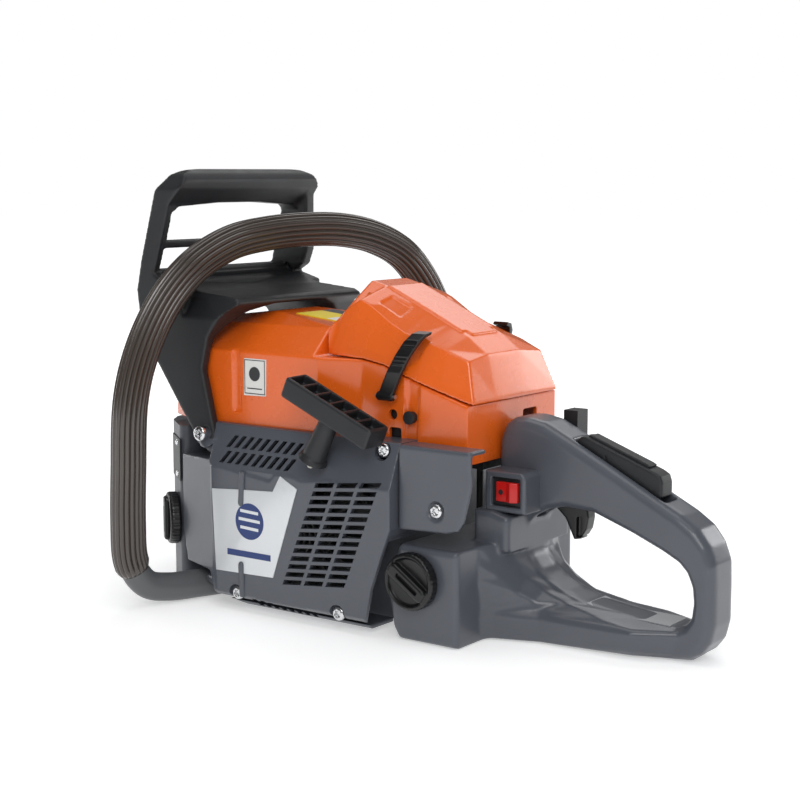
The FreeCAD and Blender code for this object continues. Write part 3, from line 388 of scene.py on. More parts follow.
def swept(route, section_at, sides):
    """A skin along a route; section_at gives the radius for a step and an angle."""
    loops = []
    side = (route[1] - route[0]).orthogonal().normalized()
    for index, centre in enumerate(route):
        before = route[max(index - 1, 0)]
        after = route[min(index + 1, len(route) - 1)]
        heading = (after - before).normalized()
        side = (side - heading * side.dot(heading)).normalized()
        up = heading.cross(side)
        loop = []
        for corner in range(sides):
            angle = 2.0 * math.pi * corner / sides
            reach = section_at(index, angle)
            loop.append(tuple(centre + side * reach * math.cos(angle) + up * reach * math.sin(angle)))
        loops.append(loop)
    return stacked(loops)


def finished(item, body, slot, *replaced):
    """Attaches a piece to the body it rides on and hides the CAD nodes it stands for; slot is not used."""
    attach(item, body)
    if replaced:
        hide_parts(*replaced)
    return item


def inset(outline, amount):
    """An outline moved inwards along its mitres; negative amounts move it outwards."""
    count = len(outline)
    area = sum(outline[i][0] * outline[(i + 1) % count][1] - outline[(i + 1) % count][0] * outline[i][1]
               for i in range(count))
    turn = 1.0 if area > 0 else -1.0
    moved = []
    for index in range(count):
        before, here, after = (Vector(outline[(index + step) % count]) for step in (-1, 0, 1))
        arriving = (here - before).normalized()
        leaving = (after - here).normalized()
        first = Vector((-arriving.y, arriving.x)) * turn
        second = Vector((-leaving.y, leaving.x)) * turn
        mitre = first + second
        mitre = mitre / max(0.35, mitre.length_squared / 2.0)
        moved.append(tuple(here + mitre * amount))
    return moved


def pillow(outline, axis, low, high, radius, steps=4):
    """A slab whose edges at both faces are rounded."""
    angles = [math.pi / 2.0 * step / steps for step in range(steps + 1)]
    levels = [(low + radius * (1.0 - math.sin(a)), inset(outline, radius * (1.0 - math.cos(a))))
              for a in reversed(angles)]
    levels += [(high - radius * (1.0 - math.sin(a)), inset(outline, radius * (1.0 - math.cos(a))))
               for a in angles]
    return loft(levels, axis)


def rim_cut(outline, axis, low, high, radius, beyond=6.0):
    """A cut through a part that leaves rounded edges at both faces of it."""
    rises = [math.sin(math.pi / 2.0 * step / 4) for step in range(5)]
    levels = [(low - beyond, inset(outline, -radius))]
    levels += [(low + radius * rise, inset(outline, -radius * (1.0 - rise))) for rise in rises]
    levels += [(high - radius * rise, inset(outline, -radius * (1.0 - rise))) for rise in reversed(rises)]
    levels.append((high + beyond, inset(outline, -radius)))
    return loft(levels, axis)


def mirrored(half):
    """An outline from its positive half."""
    return half + [(-u, v) for u, v in reversed(half)]


def shape_of(item):
    """The points and faces of a helper object, which is removed."""
    verts = [tuple(c / MM for c in vertex.co) for vertex in item.data.vertices]
    faces = [tuple(face.vertices) for face in item.data.polygons]
    discard(item)
    return verts, faces


def intersected(name, shapes):
    """The space that several shapes share."""
    item = new_object(name, *shapes[0])
    for shape in shapes[1:]:
        cut_away(item, [shape], "INTERSECT")
    return shape_of(item)


# ---------------------------------------------------------------- front handle

# The hoop lies in an upright plane that runs forwards to the left.
HANDLE_OFFSET = 70.0
HANDLE_SLOPE = 0.4
TUBE_RADIUS = 10.5
PLANE_ROUTE = [(51, 10.6), (75, 10.6), (98, 11), (115, 16), (125.5, 34), (127, 62), (126, 100), (123.5, 150),
               (114, 188), (97, 222), (75, 247), (48, 263), (20, 269.5), (-12, 272), (-40, 271),
               (-66, 265), (-90, 252), (-108, 230)]
TUBE_ROUTE = [(HANDLE_OFFSET + HANDLE_SLOPE * y, y, z) for y, z in PLANE_ROUTE]
TUBE_ROUTE += [(20, -119, 203), (11, -123, 172), (-6, -123.5, 140), (-30, -122, 112), (-56, -118, 90),
               (-80, -106, 73), (-95, -88, 60), (-100, -71, 52)]
STEPS = 8
route = smooth_route(TUBE_ROUTE, STEPS)
tube = new_object("handle_tube_skin", *swept(route, lambda index, angle: TUBE_RADIUS, 48), TUBE)
shade(tube, 60.0)
finished(tube, ROOT, "tube_paint", "front_handle_tube")

RIBS = 19
RIB_FOOT = 11.6
RIB_HEIGHT = 1.4
GRIP_FIRST = 4 * STEPS - 3
GRIP_LAST = 19 * STEPS
grip_route = route[GRIP_FIRST:GRIP_LAST + 1]


def grip_radius(index, angle):
    """The ribbed sleeve's radius; each rib ends in a rounded nose at both ends of the sleeve."""
    from_end = min(index, len(grip_route) - 1 - index)
    rib = abs(math.sin(angle * RIBS / 2.0)) ** 0.7
    if from_end == 0:
        return 10.6
    if from_end == 1:
        return 10.9 + 1.2 * rib
    return RIB_FOOT + RIB_HEIGHT * rib


sleeve = new_object("ribbed_grip", *swept(grip_route, grip_radius, RIBS * 8), GRIP)
shade(sleeve, 70.0)
finished(sleeve, ROOT, "grip_rubber", "front_handle_grip")

# ---------------------------------------------------------------- hand guard

# GUARD is half of its width; outlines that end in _side are seen from the left.
GUARD = 80.0
ARM_THICKNESS = 7.5
frame_side = [(107, 309), (110, 314), (115, 317.5), (122, 315.5), (135, 301), (150, 250), (155, 227),
              (141, 228), (133, 251), (121, 291), (109, 303)]
shelf_side = [(60, 221.5), (77, 217), (110, 217), (146, 212), (154, 220), (155, 228), (141, 239), (128, 234),
              (100, 227), (64, 224.5)]
arm_side = [(155, 228), (151, 197), (108, 137), (98, 123), (92, 118), (87, 116.5), (82, 118), (78.5, 122),
            (79, 129), (95, 193), (95, 206), (112, 228), (139, 242)]
corner_side = [(155, 229), (151, 197), (108, 137), (97, 140), (90, 172), (84, 196), (70, 214), (60, 220),
               (64, 224.5), (100, 228), (128, 236), (140, 240)]
guard_plate = mirrored([(GUARD, 208), (GUARD, 303), (74, 313), (64, 316.5), (30, 319)])
guard_frame = intersected("guard_frame", [slab(frame_side, "y", -GUARD, GUARD),
                                          slab(guard_plate, "x", 80, 170)])
right_upright = [(109, 303), (113, 298), (113.5, 254), (118, 242), (128, 236), (141, 250), (128, 303)]
guard_adds = [guard_frame, slab(shelf_side, "y", -GUARD + 3, GUARD - 3),
              slab(right_upright, "y", -GUARD + 0.5, -69)]
guard_cuts = [
    rim_cut([(-69, 264.5), (73, 264.5), (73, 285), (67, 289.5), (25, 292), (-20, 292), (-63, 289.5),
             (-69, 285)], "x", 108, 150, 3.0, 20),
    rim_cut([(-70, 243), (74, 243), (74, 259), (-70, 259)], "x", 112, 160, 2.5, 20),
]
guard_web = [(GUARD, 236), (GUARD, 128), (72.5, 128), (72.5, 189), (70, 197), (64, 205), (50, 213.5),
             (28, 219), (0, 219.5), (0, 230)]
for sign in (1, -1):
    low, high = sorted((sign * (GUARD - ARM_THICKNESS), sign * GUARD))
    guard_adds.append(pillow(arm_side, "y", low, high, 2.0))
    web_block = slab([(sign * u, v) for u, v in guard_web], "x", 50, 170)
    guard_adds.append(intersected("guard_web", [web_block, slab(corner_side, "y", -82, 82)]))
    guard_cuts.append(bar((87, sign * 60, 126), (87, sign * 95, 126), 4.4))
    guard_cuts.append(slab([(sign * 74, 320), (sign * 92, 320), (sign * 92, 296)], "x", 90, 150))
    guard_cuts.append(slab([(sign * 70, 250), (sign * 70, 224), (sign * 78, 212), (sign * 95, 196),
                            (sign * 95, 250)], "x", 50, 108))
guard = moulded("guard_moulding", guard_adds, guard_cuts, 1.2, 4, BLACK, 0.5)
finished(guard, "hand_guard", "black", "hand_guard")

# ---------------------------------------------------------------- orange covers

SHROUD_SIDE = [(148, 131), (146, 148), (124, 194), (108, 208), (65, 213), (-3, 206), (-7, 187), (-40, 186),
               (-59, 183), (-77, 176), (-125, 159), (-125, 119), (-118, 119), (-112, 131)]
SHROUD_INSIDE = [(145, 120), (143.5, 147.5), (121.5, 193), (107, 205.5), (65, 210.5), (-1, 203.5),
                 (-5, 184.5), (-39.5, 183.5), (-58.3, 180.5), (-76, 173.5), (-122.5, 157), (-122.5, 114),
                 (-112, 114), (-108, 120)]


def shroud_limits(shrink):
    """The plan and the crown that bound the cylinder cover."""
    half = [(160, 40 - shrink), (98, 70 - shrink), (-11, 70 - shrink), (-40, 57 - shrink)]
    plan = half + [(-80, 57 - shrink), (-135, 50 - shrink), (-135, shrink - 62), (-80, shrink - 57)]
    plan += [(u, -v) for u, v in reversed(half)]
    crown = mirrored([(75, 100), (70 - shrink + 0.5, 186 - shrink), (64 - shrink, 191 - shrink),
                      (46 - shrink, 205 - shrink), (24, 213 - shrink)])
    return slab(plan, "z", 90, 240), slab(crown, "x", -140, 170)


groove = [(60, 142), (68, 142), (69, 193), (62, 193)]
parting_line = [(21.6, 128), (22.4, 128), (11.4, 186), (10.6, 186)]
COVER_WALL = 2.6
shroud_cuts = [
    box((-120, -45, 150), (-10, 45, 230)),
    box((120, -36, 110), (175, 36, 176)),
    bar((-20, 60, 124), (-20, 80, 124), 9),
    slab(groove, "y", 68.2, 80),
    slab(groove, "y", -80, -68.2),
    slab([(-64, 120), (-64, 141), (-74, 141), (-74, 120)], "y", 50, 80),
    slab([(-75, 120), (-86, 120), (-89, 172), (-78, 176)], "y", 54.6, 80),
    box((-130, -36, 110), (-110, -18, 150)),
    slab(parting_line, "y", 69.3, 80),
    slab(parting_line, "y", -80, -69.3),
]
shroud = moulded("cylinder_shroud", [slab(SHROUD_SIDE, "y", -90, 90)], shroud_cuts, 1.0, 3, ORANGE, 0.5,
                 meets=shroud_limits(0.0))
hollow = new_object("shroud_hollow", *slab(SHROUD_INSIDE, "y", -90, 90))
for limit in shroud_limits(COVER_WALL):
    cut_away(hollow, [limit], "INTERSECT")
scoop = shroud.modifiers.new("hollow", "BOOLEAN")
scoop.operation = "DIFFERENCE"
scoop.solver = "EXACT"
scoop.object = hollow
bake(shroud)
discard(hollow)
cut_away(shroud, [bar((-67, 50, 150), (-67, 70, 150), 3.6)])
shade(shroud, 50.0)
finished(shroud, ROOT, "orange", "cylinder_cover")
backing = [box((-74, 50, 119), (-60, 53, 156)), bar((-82, 53, 149), (-82, 58.6, 149), 4.0),
           bar((-82, 58.2, 149), (-82, 60, 149), 4.6)]
backing_piece = crisp("shroud_backing", backing, BLACK, 0.4, 2)
finished(backing_piece, ROOT, "black")

# Each station: place, seam height, left and right half widths, roof edge height and ridge height.
COVER_STATIONS = [
    (-9, 187.8, 55, 55, 206, 207), (-14, 187.6, 57.2, 57.2, 213, 224), (-21, 187.5, 58, 58, 219, 238.5),
    (-34, 187, 58, 58, 227, 235), (-42, 186.7, 58, 58, 223.5, 231.5), (-60, 183.6, 58, 58, 212, 223.5),
    (-72, 178.9, 58, 58, 206, 218), (-88, 173.3, 57, 58, 201, 210.5), (-104, 167.7, 54, 58, 195.5, 203),
    (-120, 162, 50, 57, 188.5, 191.5), (-127.5, 159.6, 48, 59, 161.5, 162.3),
]
SIDE_LEAN = 7.5
RIDGE_HALF = 20.0


def cover_form(stations, shrink):
    """The filter cover's outside, or its inside when drawn smaller."""
    ends = (COVER_STATIONS[0][0], COVER_STATIONS[-1][0])
    levels = []
    for place, seam, left, right, edge_height, ridge_height in stations:
        lean = 0.0 if place in ends else SIDE_LEAN
        foot = seam if shrink == 0 else seam - 12
        outline = []
        for sign, half in ((1, left), (-1, right)):
            side = [(half - shrink, foot), (half - shrink - lean * 0.15, seam + 0.2 * (edge_height - seam)),
                    (half - shrink - lean, edge_height - shrink), (RIDGE_HALF, ridge_height - shrink)]
            side = [(sign * u, v) for u, v in side]
            outline += side if sign == 1 else side[::-1]
        levels.append((place, outline))
    return loft(levels, "x")


def roof_height(x, y):
    """The height of the filter cover's roof between its edge and its ridge lines."""
    for near, far in zip(COVER_STATIONS, COVER_STATIONS[1:]):
        if x >= far[0]:
            t = (near[0] - x) / (near[0] - far[0])
            edge = near[4] + (far[4] - near[4]) * t
            ridge = near[5] + (far[5] - near[5]) * t
            reach = min(1.0, max(0.0, (abs(y) - RIDGE_HALF) / 30.5))
            return ridge + (edge - ridge) * reach
    return COVER_STATIONS[-1][5]


def roof_slab(outline, below, above, steps=10):
    """A plan outline of two X values and slanted Y limits, laid along the roof between two offsets."""
    (x_near, x_far), (y_low, y_high), drift = outline
    loops = []
    for step in range(steps + 1):
        t = step / steps
        x = x_near + (x_far - x_near) * t
        low, high = y_low + drift * t, y_high + drift * t
        loops.append([(x, low, roof_height(x, low) + below), (x, high, roof_height(x, high) + below),
                      (x, high, roof_height(x, high) + above), (x, low, roof_height(x, low) + above)])
    return stacked(loops)


raised = [roof_slab(((-36, -99), (-20, 20), 0.0), -2.0, 1.5),
          roof_slab(((-99, -104), (-15, 15), 0.0), -2.0, 1.5)]
cover_cuts = []
for sign in (1, -1):
    strap_gap = [(sign * 55.5, 184), (sign * 70, 184), (sign * 70, 212), (sign * 46, 203.5), (sign * 46, 200)]
    gap_loops = []
    for front in (-57.0, -72.5):
        gap_loops.append([(front - 0.5 * (v - 163), u, v) for u, v in strap_gap])
    cover_cuts.append(stacked(gap_loops))
    low, high = sorted((sign * 27, sign * 42))
    cover_cuts.append(roof_slab(((-44, -61), (low, high), sign * -2.0), -1.2, 6.0))
cover = moulded("filter_cover_shell", [cover_form(COVER_STATIONS, 0.0)] + raised, cover_cuts, 0.9, 2,
                ORANGE, 0.5)
cut_away(cover, [cover_form(COVER_STATIONS[1:-1], 3.4)])
shade(cover, 50.0)
finished(cover, ROOT, "orange", "filter_cover")

CLIP_FRONT = -58.5
CLIP_WIDTH = 12.5
CLIP_HINGE_HEIGHT = 163.0
CLIP_LEAN = 0.5


def leaned(shape):
    """A clip shape leaned backwards with its height."""
    verts, faces = shape
    return [(x - CLIP_LEAN * (z - CLIP_HINGE_HEIGHT), y, z) for x, y, z in verts], faces


for sign, side_name in ((1, "left"), (-1, "right")):
    strap = [(60.6, 163), (61.4, 180), (60.4, 190), (57, 198), (52.5, 203.5), (47, 205.3), (47, 207.6),
             (53.5, 206.2), (59.4, 201), (63.2, 192), (65, 180), (64.2, 163)]
    strap = [(sign * u, v) for u, v in strap]
    back = CLIP_FRONT - CLIP_WIDTH
    clip_adds = [leaned(pillow(strap, "x", back, CLIP_FRONT, 0.7, 2)),
                 bar((back, sign * 62.3, 163), (CLIP_FRONT, sign * 62.3, 163), 3.3)]
    for index in range(7):
        level = 186 + index * 2.6
        push = 64.2 - 0.02 * (level - 182) ** 1.9
        clip_adds.append(leaned(bar((back + 1.5, sign * push, level), (CLIP_FRONT - 1.5, sign * push, level),
                                    0.8, sides=12)))
    clip = moulded("filter_clip_skin_" + side_name, clip_adds, [], 0.5, 2, BLACK_GLOSS, 0.5)
    finished(clip, "filter_clip_" + side_name, "black", "filter_clip_" + side_name)

side_patch = slab([(57.5, 155), (36.5, 155.5), (36, 182), (57, 182)], "y", 69.9, 70.45)
sticker = crisp("side_sticker", [side_patch], STICKER, 0.12, 1)
finished(sticker, ROOT, "label")
border = []
for x_low, z_low, x_high, z_high in ((37.2, 156.4, 56.6, 157.0), (37.2, 180.6, 56.6, 181.2),
                                     (37.2, 156.4, 37.8, 181.2), (56.0, 156.4, 56.6, 181.2),
                                     (40, 160, 54, 160.8)):
    border.append(slab([(x_low, z_low), (x_high, z_low), (x_high, z_high), (x_low, z_high)],
                       "y", 70.3, 70.6))
border.append(turned([(0.0, 0.0), (5.2, 0.0), (5.2, 0.2), (0.0, 0.2)], (47, 70.4, 171), (0, 1, 0), 40))
marks = crisp("side_sticker_marks", border, STICKER_DARK, 0.03, 1)
finished(marks, ROOT, "label")


def roof_patch(outline, thickness):
    """A thin patch laid on the sloping roof of the cylinder cover."""
    verts, faces = slab(outline, "z", 0.0, thickness)
    return [(x, y, z + 206.0 + (x + 3.0) * 7.0 / 68.0 - 0.2) for x, y, z in verts], faces


for patch_name, outline, thickness, material, bevel in (
        ("roof_sticker", [(2, -8), (2, 22), (48, 22), (48, -8)], 0.8, STICKER_YELLOW, 0.12),
        ("roof_sticker_panel", [(3, 8), (3, 21), (20, 21), (20, 8)], 1.05, STICKER, 0.05),
        ("roof_sticker_back", [(2, -22), (2, -8), (48, -8), (48, -22)], 0.8, STICKER_DARK, 0.12)):
    patch = crisp(patch_name, [roof_patch(outline, thickness)], material, bevel, 1)
    finished(patch, ROOT, "label")

# ---------------------------------------------------------------- starter cover

starter_outline = [(-65, 3), (50, 3), (72, 8), (79, 25), (114, 26), (121, 49), (120, 106), (78, 108),
                   (78, 134), (-87, 134), (-87, 76), (-71, 33)]
starter_adds = [slab(starter_outline, "y", 54, 88)]
starter_shape_cuts = [
    slab([(74, 88), (140, 62), (140, 110), (74, 110)], "z", -5, 150),
    slab([(88, 104), (74, 138), (108, 138), (108, 104)], "x", -100, 130),
    slab([(88.5, 12), (88.5, 1), (76, 1)], "x", -100, 130),
    slab([(50, 6), (84.6, 6), (84.6, 103), (72.6, 130.5), (50, 130.5)], "x", -84, 74),
    box((70, 50, 29), (112, 70, 103)),
]
starter_adds.append(bar((87, 80.5, 126), (87, 87, 126), 11))
starter_adds.append(slab([(76, 108), (96, 118), (96, 134), (76, 134)], "y", 70, 79))
face_panel = [(76, 105.5), (18, 98), (9, 107.5), (-10, 101.5), (-86, 110), (-86.5, 75), (-70.5, 33),
              (-66, 12), (14, 10), (70, 12)]
starter_adds.append(slab(face_panel, "y", 84, 88.9))
starter = moulded("starter_housing", starter_adds, starter_shape_cuts, 1.0, 3, GREY, 0.5)
starter_slots = []

# The grille on the face: three slanted columns of slots.
for row in range(13):
    for column in range(3):
        right = -24 + row * 2.45 - column * 19.5
        top_edge = 102 - row * 6.05 + column * 2
        starter_slots.append(slab([(right, top_edge), (right - 16.5, top_edge + 1.8),
                                   (right - 15, top_edge - 1.8), (right + 1.5, top_edge - 3.6)],
                                  "y", 80, 95))

# Two rows of slots in the slanted wall above the face.
for row in range(2):
    for column in range(9):
        left = 68 - column * 7.6 - row * 3
        foot = 107 + row * 11
        starter_slots.append(slab([(left, foot), (left - 4, foot), (left - 10, foot + 8.5),
                                   (left - 6, foot + 8.5)], "y", 66, 95))

# One row along the foot.
for column in range(8):
    left = 38 - column * 7.2
    top, foot = 10.5 - column * 0.5, 4.6 - column * 0.1
    starter_slots.append(slab([(left, top), (left - 4.6, top), (left - 7, foot), (left - 2.4, foot)],
                              "y", 76, 95))

# Screw places as X, Z and the height of the face under the head.
STARTER_SCREWS = [(-74, 128, 78), (-42, 12, 88), (51, 13, 88), (87, 126, 87)]
for screw_x, screw_z, face_y in STARTER_SCREWS:
    starter_slots.append(bar((screw_x, face_y - 3.0, screw_z), (screw_x, 100, screw_z), 6.4, 7.0))
cut_away(starter, starter_slots)
shade(starter, 50.0)
finished(starter, ROOT, "body_grey", "starter_cover")

plate_outline = [(73, 88), (47.5, 90), (15, 92), (8, 104), (-8, 96), (15, 29), (70, 27.5)]
plate = crisp("label_plate_face", [slab(inset(plate_outline, 0.4), "y", 88.7, 89.6)], PLATE, 0.3, 2)
finished(plate, ROOT, "label", "starter_label_plate")
emblem = [bar((36.5, 89.5, 67.5), (36.5, 89.9, 67.5), 13.2, sides=64)]
emblem_disc = crisp("label_emblem", emblem, PLATE_BLUE, 0.1, 1)
finished(emblem_disc, ROOT, "label")
stripes = []
for row, half in ((0, 8.5), (1, 10), (2, 8.5)):
    level = 61.0 + row * 6.0
    stripes.append(slab([(36.5 - half, level), (36.5 + half, level + 0.8), (36.5 + half, level + 3.0),
                         (36.5 - half, level + 2.2)], "y", 89.7, 90.05))
emblem_bars = crisp("label_emblem_bars", stripes, PLATE, 0.05, 1)
finished(emblem_bars, ROOT, "label")
strip = [slab([(58, 41), (17, 41), (17, 45.5), (58, 45.5)], "y", 89.5, 89.8)]
strip_bar = crisp("label_strip", strip, PLATE_BLUE, 0.05, 1)
finished(strip_bar, ROOT, "label")

ribs = []
for start, end in (((44.5, 89.2, 80), (43.2, 88.8, 103)), ((45, 89.2, 35), (45, 88.0, 11))):
    ribs.append(bar(start, end, 2.5, sides=20))
    ribs.append(turned([(0, -2.5), (1.8, -1.8), (2.5, 0), (1.8, 1.8), (0, 2.5)], start, (0, 0, 1), 20))
rib_piece = moulded("starter_ribs", ribs, [], 0.6, 2, GREY, 0.6)
finished(rib_piece, ROOT, "body_grey")

stud = crisp("starter_foot_stud", [bar((88, 76, 17), (76, 82, 17), 3.2)], GREY, 0.6, 2)
finished(stud, ROOT, "body_grey")

slope_plan = [(124, 67.4), (151.5, 46.2), (152.1, 46.9), (124.6, 68.2)]
case_plate = crisp("case_plate", [slab(slope_plan, "z", 84, 116)], BLACK, 0.25, 1)
finished(case_plate, ROOT, "black")
rivet_profile = [(0, 0), (2.6, 0), (2.4, 0.9), (1.4, 1.6), (0, 1.8)]
rivets = [turned(rivet_profile, (134, 60.4, level), (0.61, 0.79, 0), 24) for level in (88, 112)]
rivet_piece = new_object("case_rivets", *merged(rivets), ZINC)
shade(rivet_piece, 40.0)
finished(rivet_piece, ROOT, "zinc")

# ---------------------------------------------------------------- rear side panel

panel_side = [(-88, 134), (-146, 134), (-147, 112), (-141, 87), (-136, 80), (-127, 77.5), (-88, 76)]
panel = moulded("rear_panel_moulding", [pillow(panel_side, "y", 60, 80, 2.2)],
                [box((-150, 50, 60), (-90.5, 76.5, 131)),
                 bar((-119, 77.8, 92), (-119, 90, 92), 6.6, 7.0)], 0.9, 2, GREY, 0.5)
finished(panel, ROOT, "body_grey", "rear_side_panel")

# ---------------------------------------------------------------- screws


def screw_head(place, direction, radius):
    """A rounded screw head with a six-lobed recess."""
    base = Vector(place)
    heading = Vector(direction).normalized()
    side = heading.orthogonal().normalized()
    up = heading.cross(side)
    loops = []
    for reach, height, lobes in ((radius * 0.1, 0.9, 0), (radius * 0.42, 0.9, 1), (radius * 0.48, 2.5, 1),
                                 (radius * 0.62, 2.8, 0), (radius * 0.86, 2.4, 0), (radius * 0.97, 1.7, 0),
                                 (radius, 0.9, 0), (radius, 0.0, 0), (0.05, 0.0, 0)):
        loop = []
        for index in range(72):
            angle = 2.0 * math.pi * index / 72
            scale = 1.0 + 0.16 * math.cos(6 * angle) * lobes
            offset = side * reach * scale * math.cos(angle) + up * reach * scale * math.sin(angle)
            loop.append(tuple(base + heading * height + offset))
        loops.append(loop)
    return stacked(loops)


heads = []
for screw_x, screw_z, face_y in STARTER_SCREWS[:3]:
    heads.append(screw_head((screw_x, face_y - 2.6, screw_z), (0, 1, 0), 5.0))
heads.append(screw_head((-119, 78.0, 92), (0, 1, 0), 5.0))
head_piece = new_object("screw_heads", *merged(heads), ZINC)
shade(head_piece, 35.0)
finished(head_piece, ROOT, "zinc", "cover_screws")
pivot_heads = [screw_head((87, 85.0, 126), (0, 1, 0), 5.6), screw_head((87, -85.0, 126), (0, -1, 0), 5.6)]
pivot_piece = new_object("guard_screw_heads", *merged(pivot_heads), ZINC)
shade(pivot_piece, 35.0)
finished(pivot_piece, ROOT, "zinc", "guard_pivot_screws")

# ---------------------------------------------------------------- tank and rear handle

handle_outer = [(-126, 0), (-126, 120), (-127, 134), (-131, 144), (-138, 149), (-148, 150), (-162, 147.5),
                (-183, 137.5), (-215, 121.5), (-246, 105.5), (-265, 96), (-277, 88), (-285, 78), (-289.5, 66),
                (-290, 50), (-290, 26), (-287, 14), (-281, 6), (-273, 1.6), (-262, 0)]
handle_inner = [(-200, 90.5), (-230, 80), (-252, 71), (-264, 65), (-270, 59), (-274, 50), (-275, 40),
                (-274, 30), (-270, 24), (-262, 21.5), (-230, 22), (-200, 26), (-180, 32), (-166, 39),
                (-156, 46.5), (-150, 55), (-147.5, 66), (-149, 75), (-154, 82), (-164, 88), (-178, 91.5)]
tank_side = [(-88, 0), (-83, 8), (-78.5, 36), (-88, 66), (-136, 66), (-136, 0)]
HANDLE_HALF = 17.0
ring_form = new_object("handle_ring", *pillow(handle_outer, "y", -HANDLE_HALF, HANDLE_HALF, 7.0, 5))
cut_away(ring_form, [rim_cut(handle_inner, "y", -HANDLE_HALF, HANDLE_HALF, 4.0)])
ring_shape = shape_of(ring_form)

# The flare between tank and handle: heights, each with the left half of its plan.
BOWL = [
    (0.5, [(-110, 78.5), (-140, 43), (-172, 31.5), (-236, 23), (-274, 9)]),
    (5.0, [(-110, 78.5), (-141, 44.5), (-172, 33.2), (-237, 28), (-277, 11)]),
    (17.0, [(-110, 78.5), (-142, 46), (-172, 34.5), (-239, 31.5), (-278, 12)]),
    (20.0, [(-110, 78.5), (-142, 45.5), (-172, 33), (-239, 29), (-277, 11)]),
    (23.0, [(-110, 78.5), (-141, 46), (-171, 31), (-212, 25), (-232, 9)]),
    (28.0, [(-110, 78.5), (-139, 49), (-167, 32), (-185, 22), (-193, 8)]),
    (34.0, [(-110, 78.5), (-137, 52), (-157, 38), (-169, 23), (-175, 8)]),
    (43.0, [(-110, 78.5), (-135, 56), (-148, 43), (-156, 26), (-160, 8)]),
    (54.0, [(-110, 78), (-133, 61), (-142, 46), (-148, 28), (-151, 8)]),
    (66.0, [(-110, 76), (-131, 67), (-138, 49), (-144, 29), (-147.5, 8)]),
]
bowl_levels = []
for level, half in BOWL:
    right_half = [(u, -v * (0.86 if u > -150 else 1.0)) for u, v in reversed(half)]
    bowl_levels.append((level, half + right_half))
tank_adds = [
    pillow(tank_side, "y", -70, 80, 4.0),
    ring_shape,
    loft(bowl_levels, "z"),
    pillow([(-122, 60), (-122, 88), (-136, 88), (-150, 84), (-150, 60)], "y", -40, 40, 3.0),
    box((-150, -40, 60), (-128, 0, 130)),
]
tank_cuts = [
    slab([(-148.5, 80), (-148.5, 118), (-176, 118), (-199, 104), (-199, 80)], "y", -6.5, 6.5),
    slab([(-182, 145), (-182, 121), (-251, 91), (-251, 125)], "y", -8.8, 8.8),
]
tank = moulded("tank_with_rear_handle", tank_adds, tank_cuts, 1.2, 9, GREY, 0.5)
finished(tank, ROOT, "body_grey", "tank_and_handle", "rear_handle_right")

FOOT_LEVELS = [(-183, 31.0), (-200, 26.0), (-230, 22.2), (-262, 21.7)]


def foot_level(x):
    """The height of the handle's lower bar at a place along it."""
    for (near, near_z), (far, far_z) in zip(FOOT_LEVELS, FOOT_LEVELS[1:]):
        if x >= far:
            return near_z + (far_z - near_z) * (near - x) / (near - far)
    return FOOT_LEVELS[-1][1]


label_loops = []
for index in range(13):
    x = -196 - index * 5.2
    low, high = foot_level(x) - 0.6, foot_level(x) + 0.5
    label_loops.append([(x, -13, low), (x, 12, low), (x, 12, high), (x, -13, high)])
foot_sticker = new_object("handle_sticker", *stacked(label_loops), STICKER_GREY)
shade(foot_sticker, 30.0)
finished(foot_sticker, ROOT, "label")

trigger_side = [(-154, 109), (-166, 111), (-174, 101), (-191, 90), (-192, 84), (-190.5, 76), (-186, 69),
                (-181, 68), (-178, 74), (-174, 82), (-166, 89), (-155, 97)]
trigger = moulded("trigger_lever", [pillow(trigger_side, "y", -5.5, 5.5, 1.4)],
                  [box((-187, -7, 70), (-183, -2.2, 84)), box((-187, 2.2, 70), (-183, 7, 84))], 0.6, 2,
                  BLACK_GLOSS, 0.5)
finished(trigger, "throttle_trigger", "black", "throttle_trigger")
lockout_side = [(-183, 133), (-184, 137), (-187, 139.6), (-191, 139.8), (-242, 121), (-246.5, 118.5),
                (-248, 114), (-248, 105), (-243, 102), (-200, 121), (-187, 122)]
lockout = moulded("lockout_lever", [pillow(lockout_side, "y", -8, 8, 1.8)],
                  [slab([(-205, 128.5), (-206.5, 128.5), (-206.5, 119), (-205, 119)], "y", 7.2, 9)],
                  0.7, 2, BLACK, 0.5)
finished(lockout, "throttle_lockout", "black", "throttle_lockout")
spine = slab([(-190, 139.2), (-236, 122.5), (-238, 124.0), (-235, 125.6), (-193, 140.9)], "y", -5, 5)
spine_piece = moulded("lockout_pad", [spine], [], 0.6, 2, BLACK, 0.6)
finished(spine_piece, "throttle_lockout", "black")

case_side = [(-161, 87), (-129, 87), (-129, 115), (-158, 115), (-161, 112)]
switch_case = moulded("switch_case", [pillow(case_side, "y", 14, 36, 1.8)],
                      [box((-157, 30, 91), (-134, 40, 111))], 0.7, 2, GREY, 0.5)
finished(switch_case, ROOT, "body_grey", "switch_housing")
switch_bed = crisp("switch_bed", [box((-157.5, 29.5, 90.5), (-133.5, 33.2, 111.5))], BLACK, 0.3, 2)
finished(switch_bed, ROOT, "black")
rocker_plan = [(-155, 32.6), (-155, 36.0), (-150, 38.4), (-146.5, 36.2), (-138, 36.2), (-138, 32.6)]
rocker = crisp("switch_rocker", [slab(rocker_plan, "z", 94.5, 108)], RED, 0.7, 3)
rocker_dot = crisp("switch_rocker_mark", [bar((-142, 36.0, 101), (-142, 36.5, 101), 1.8)], BLACK, 0.1, 1)
finished(rocker, "stop_switch", "red", "stop_switch")
finished(rocker_dot, "stop_switch", "red")

# ---------------------------------------------------------------- pull handle and rope

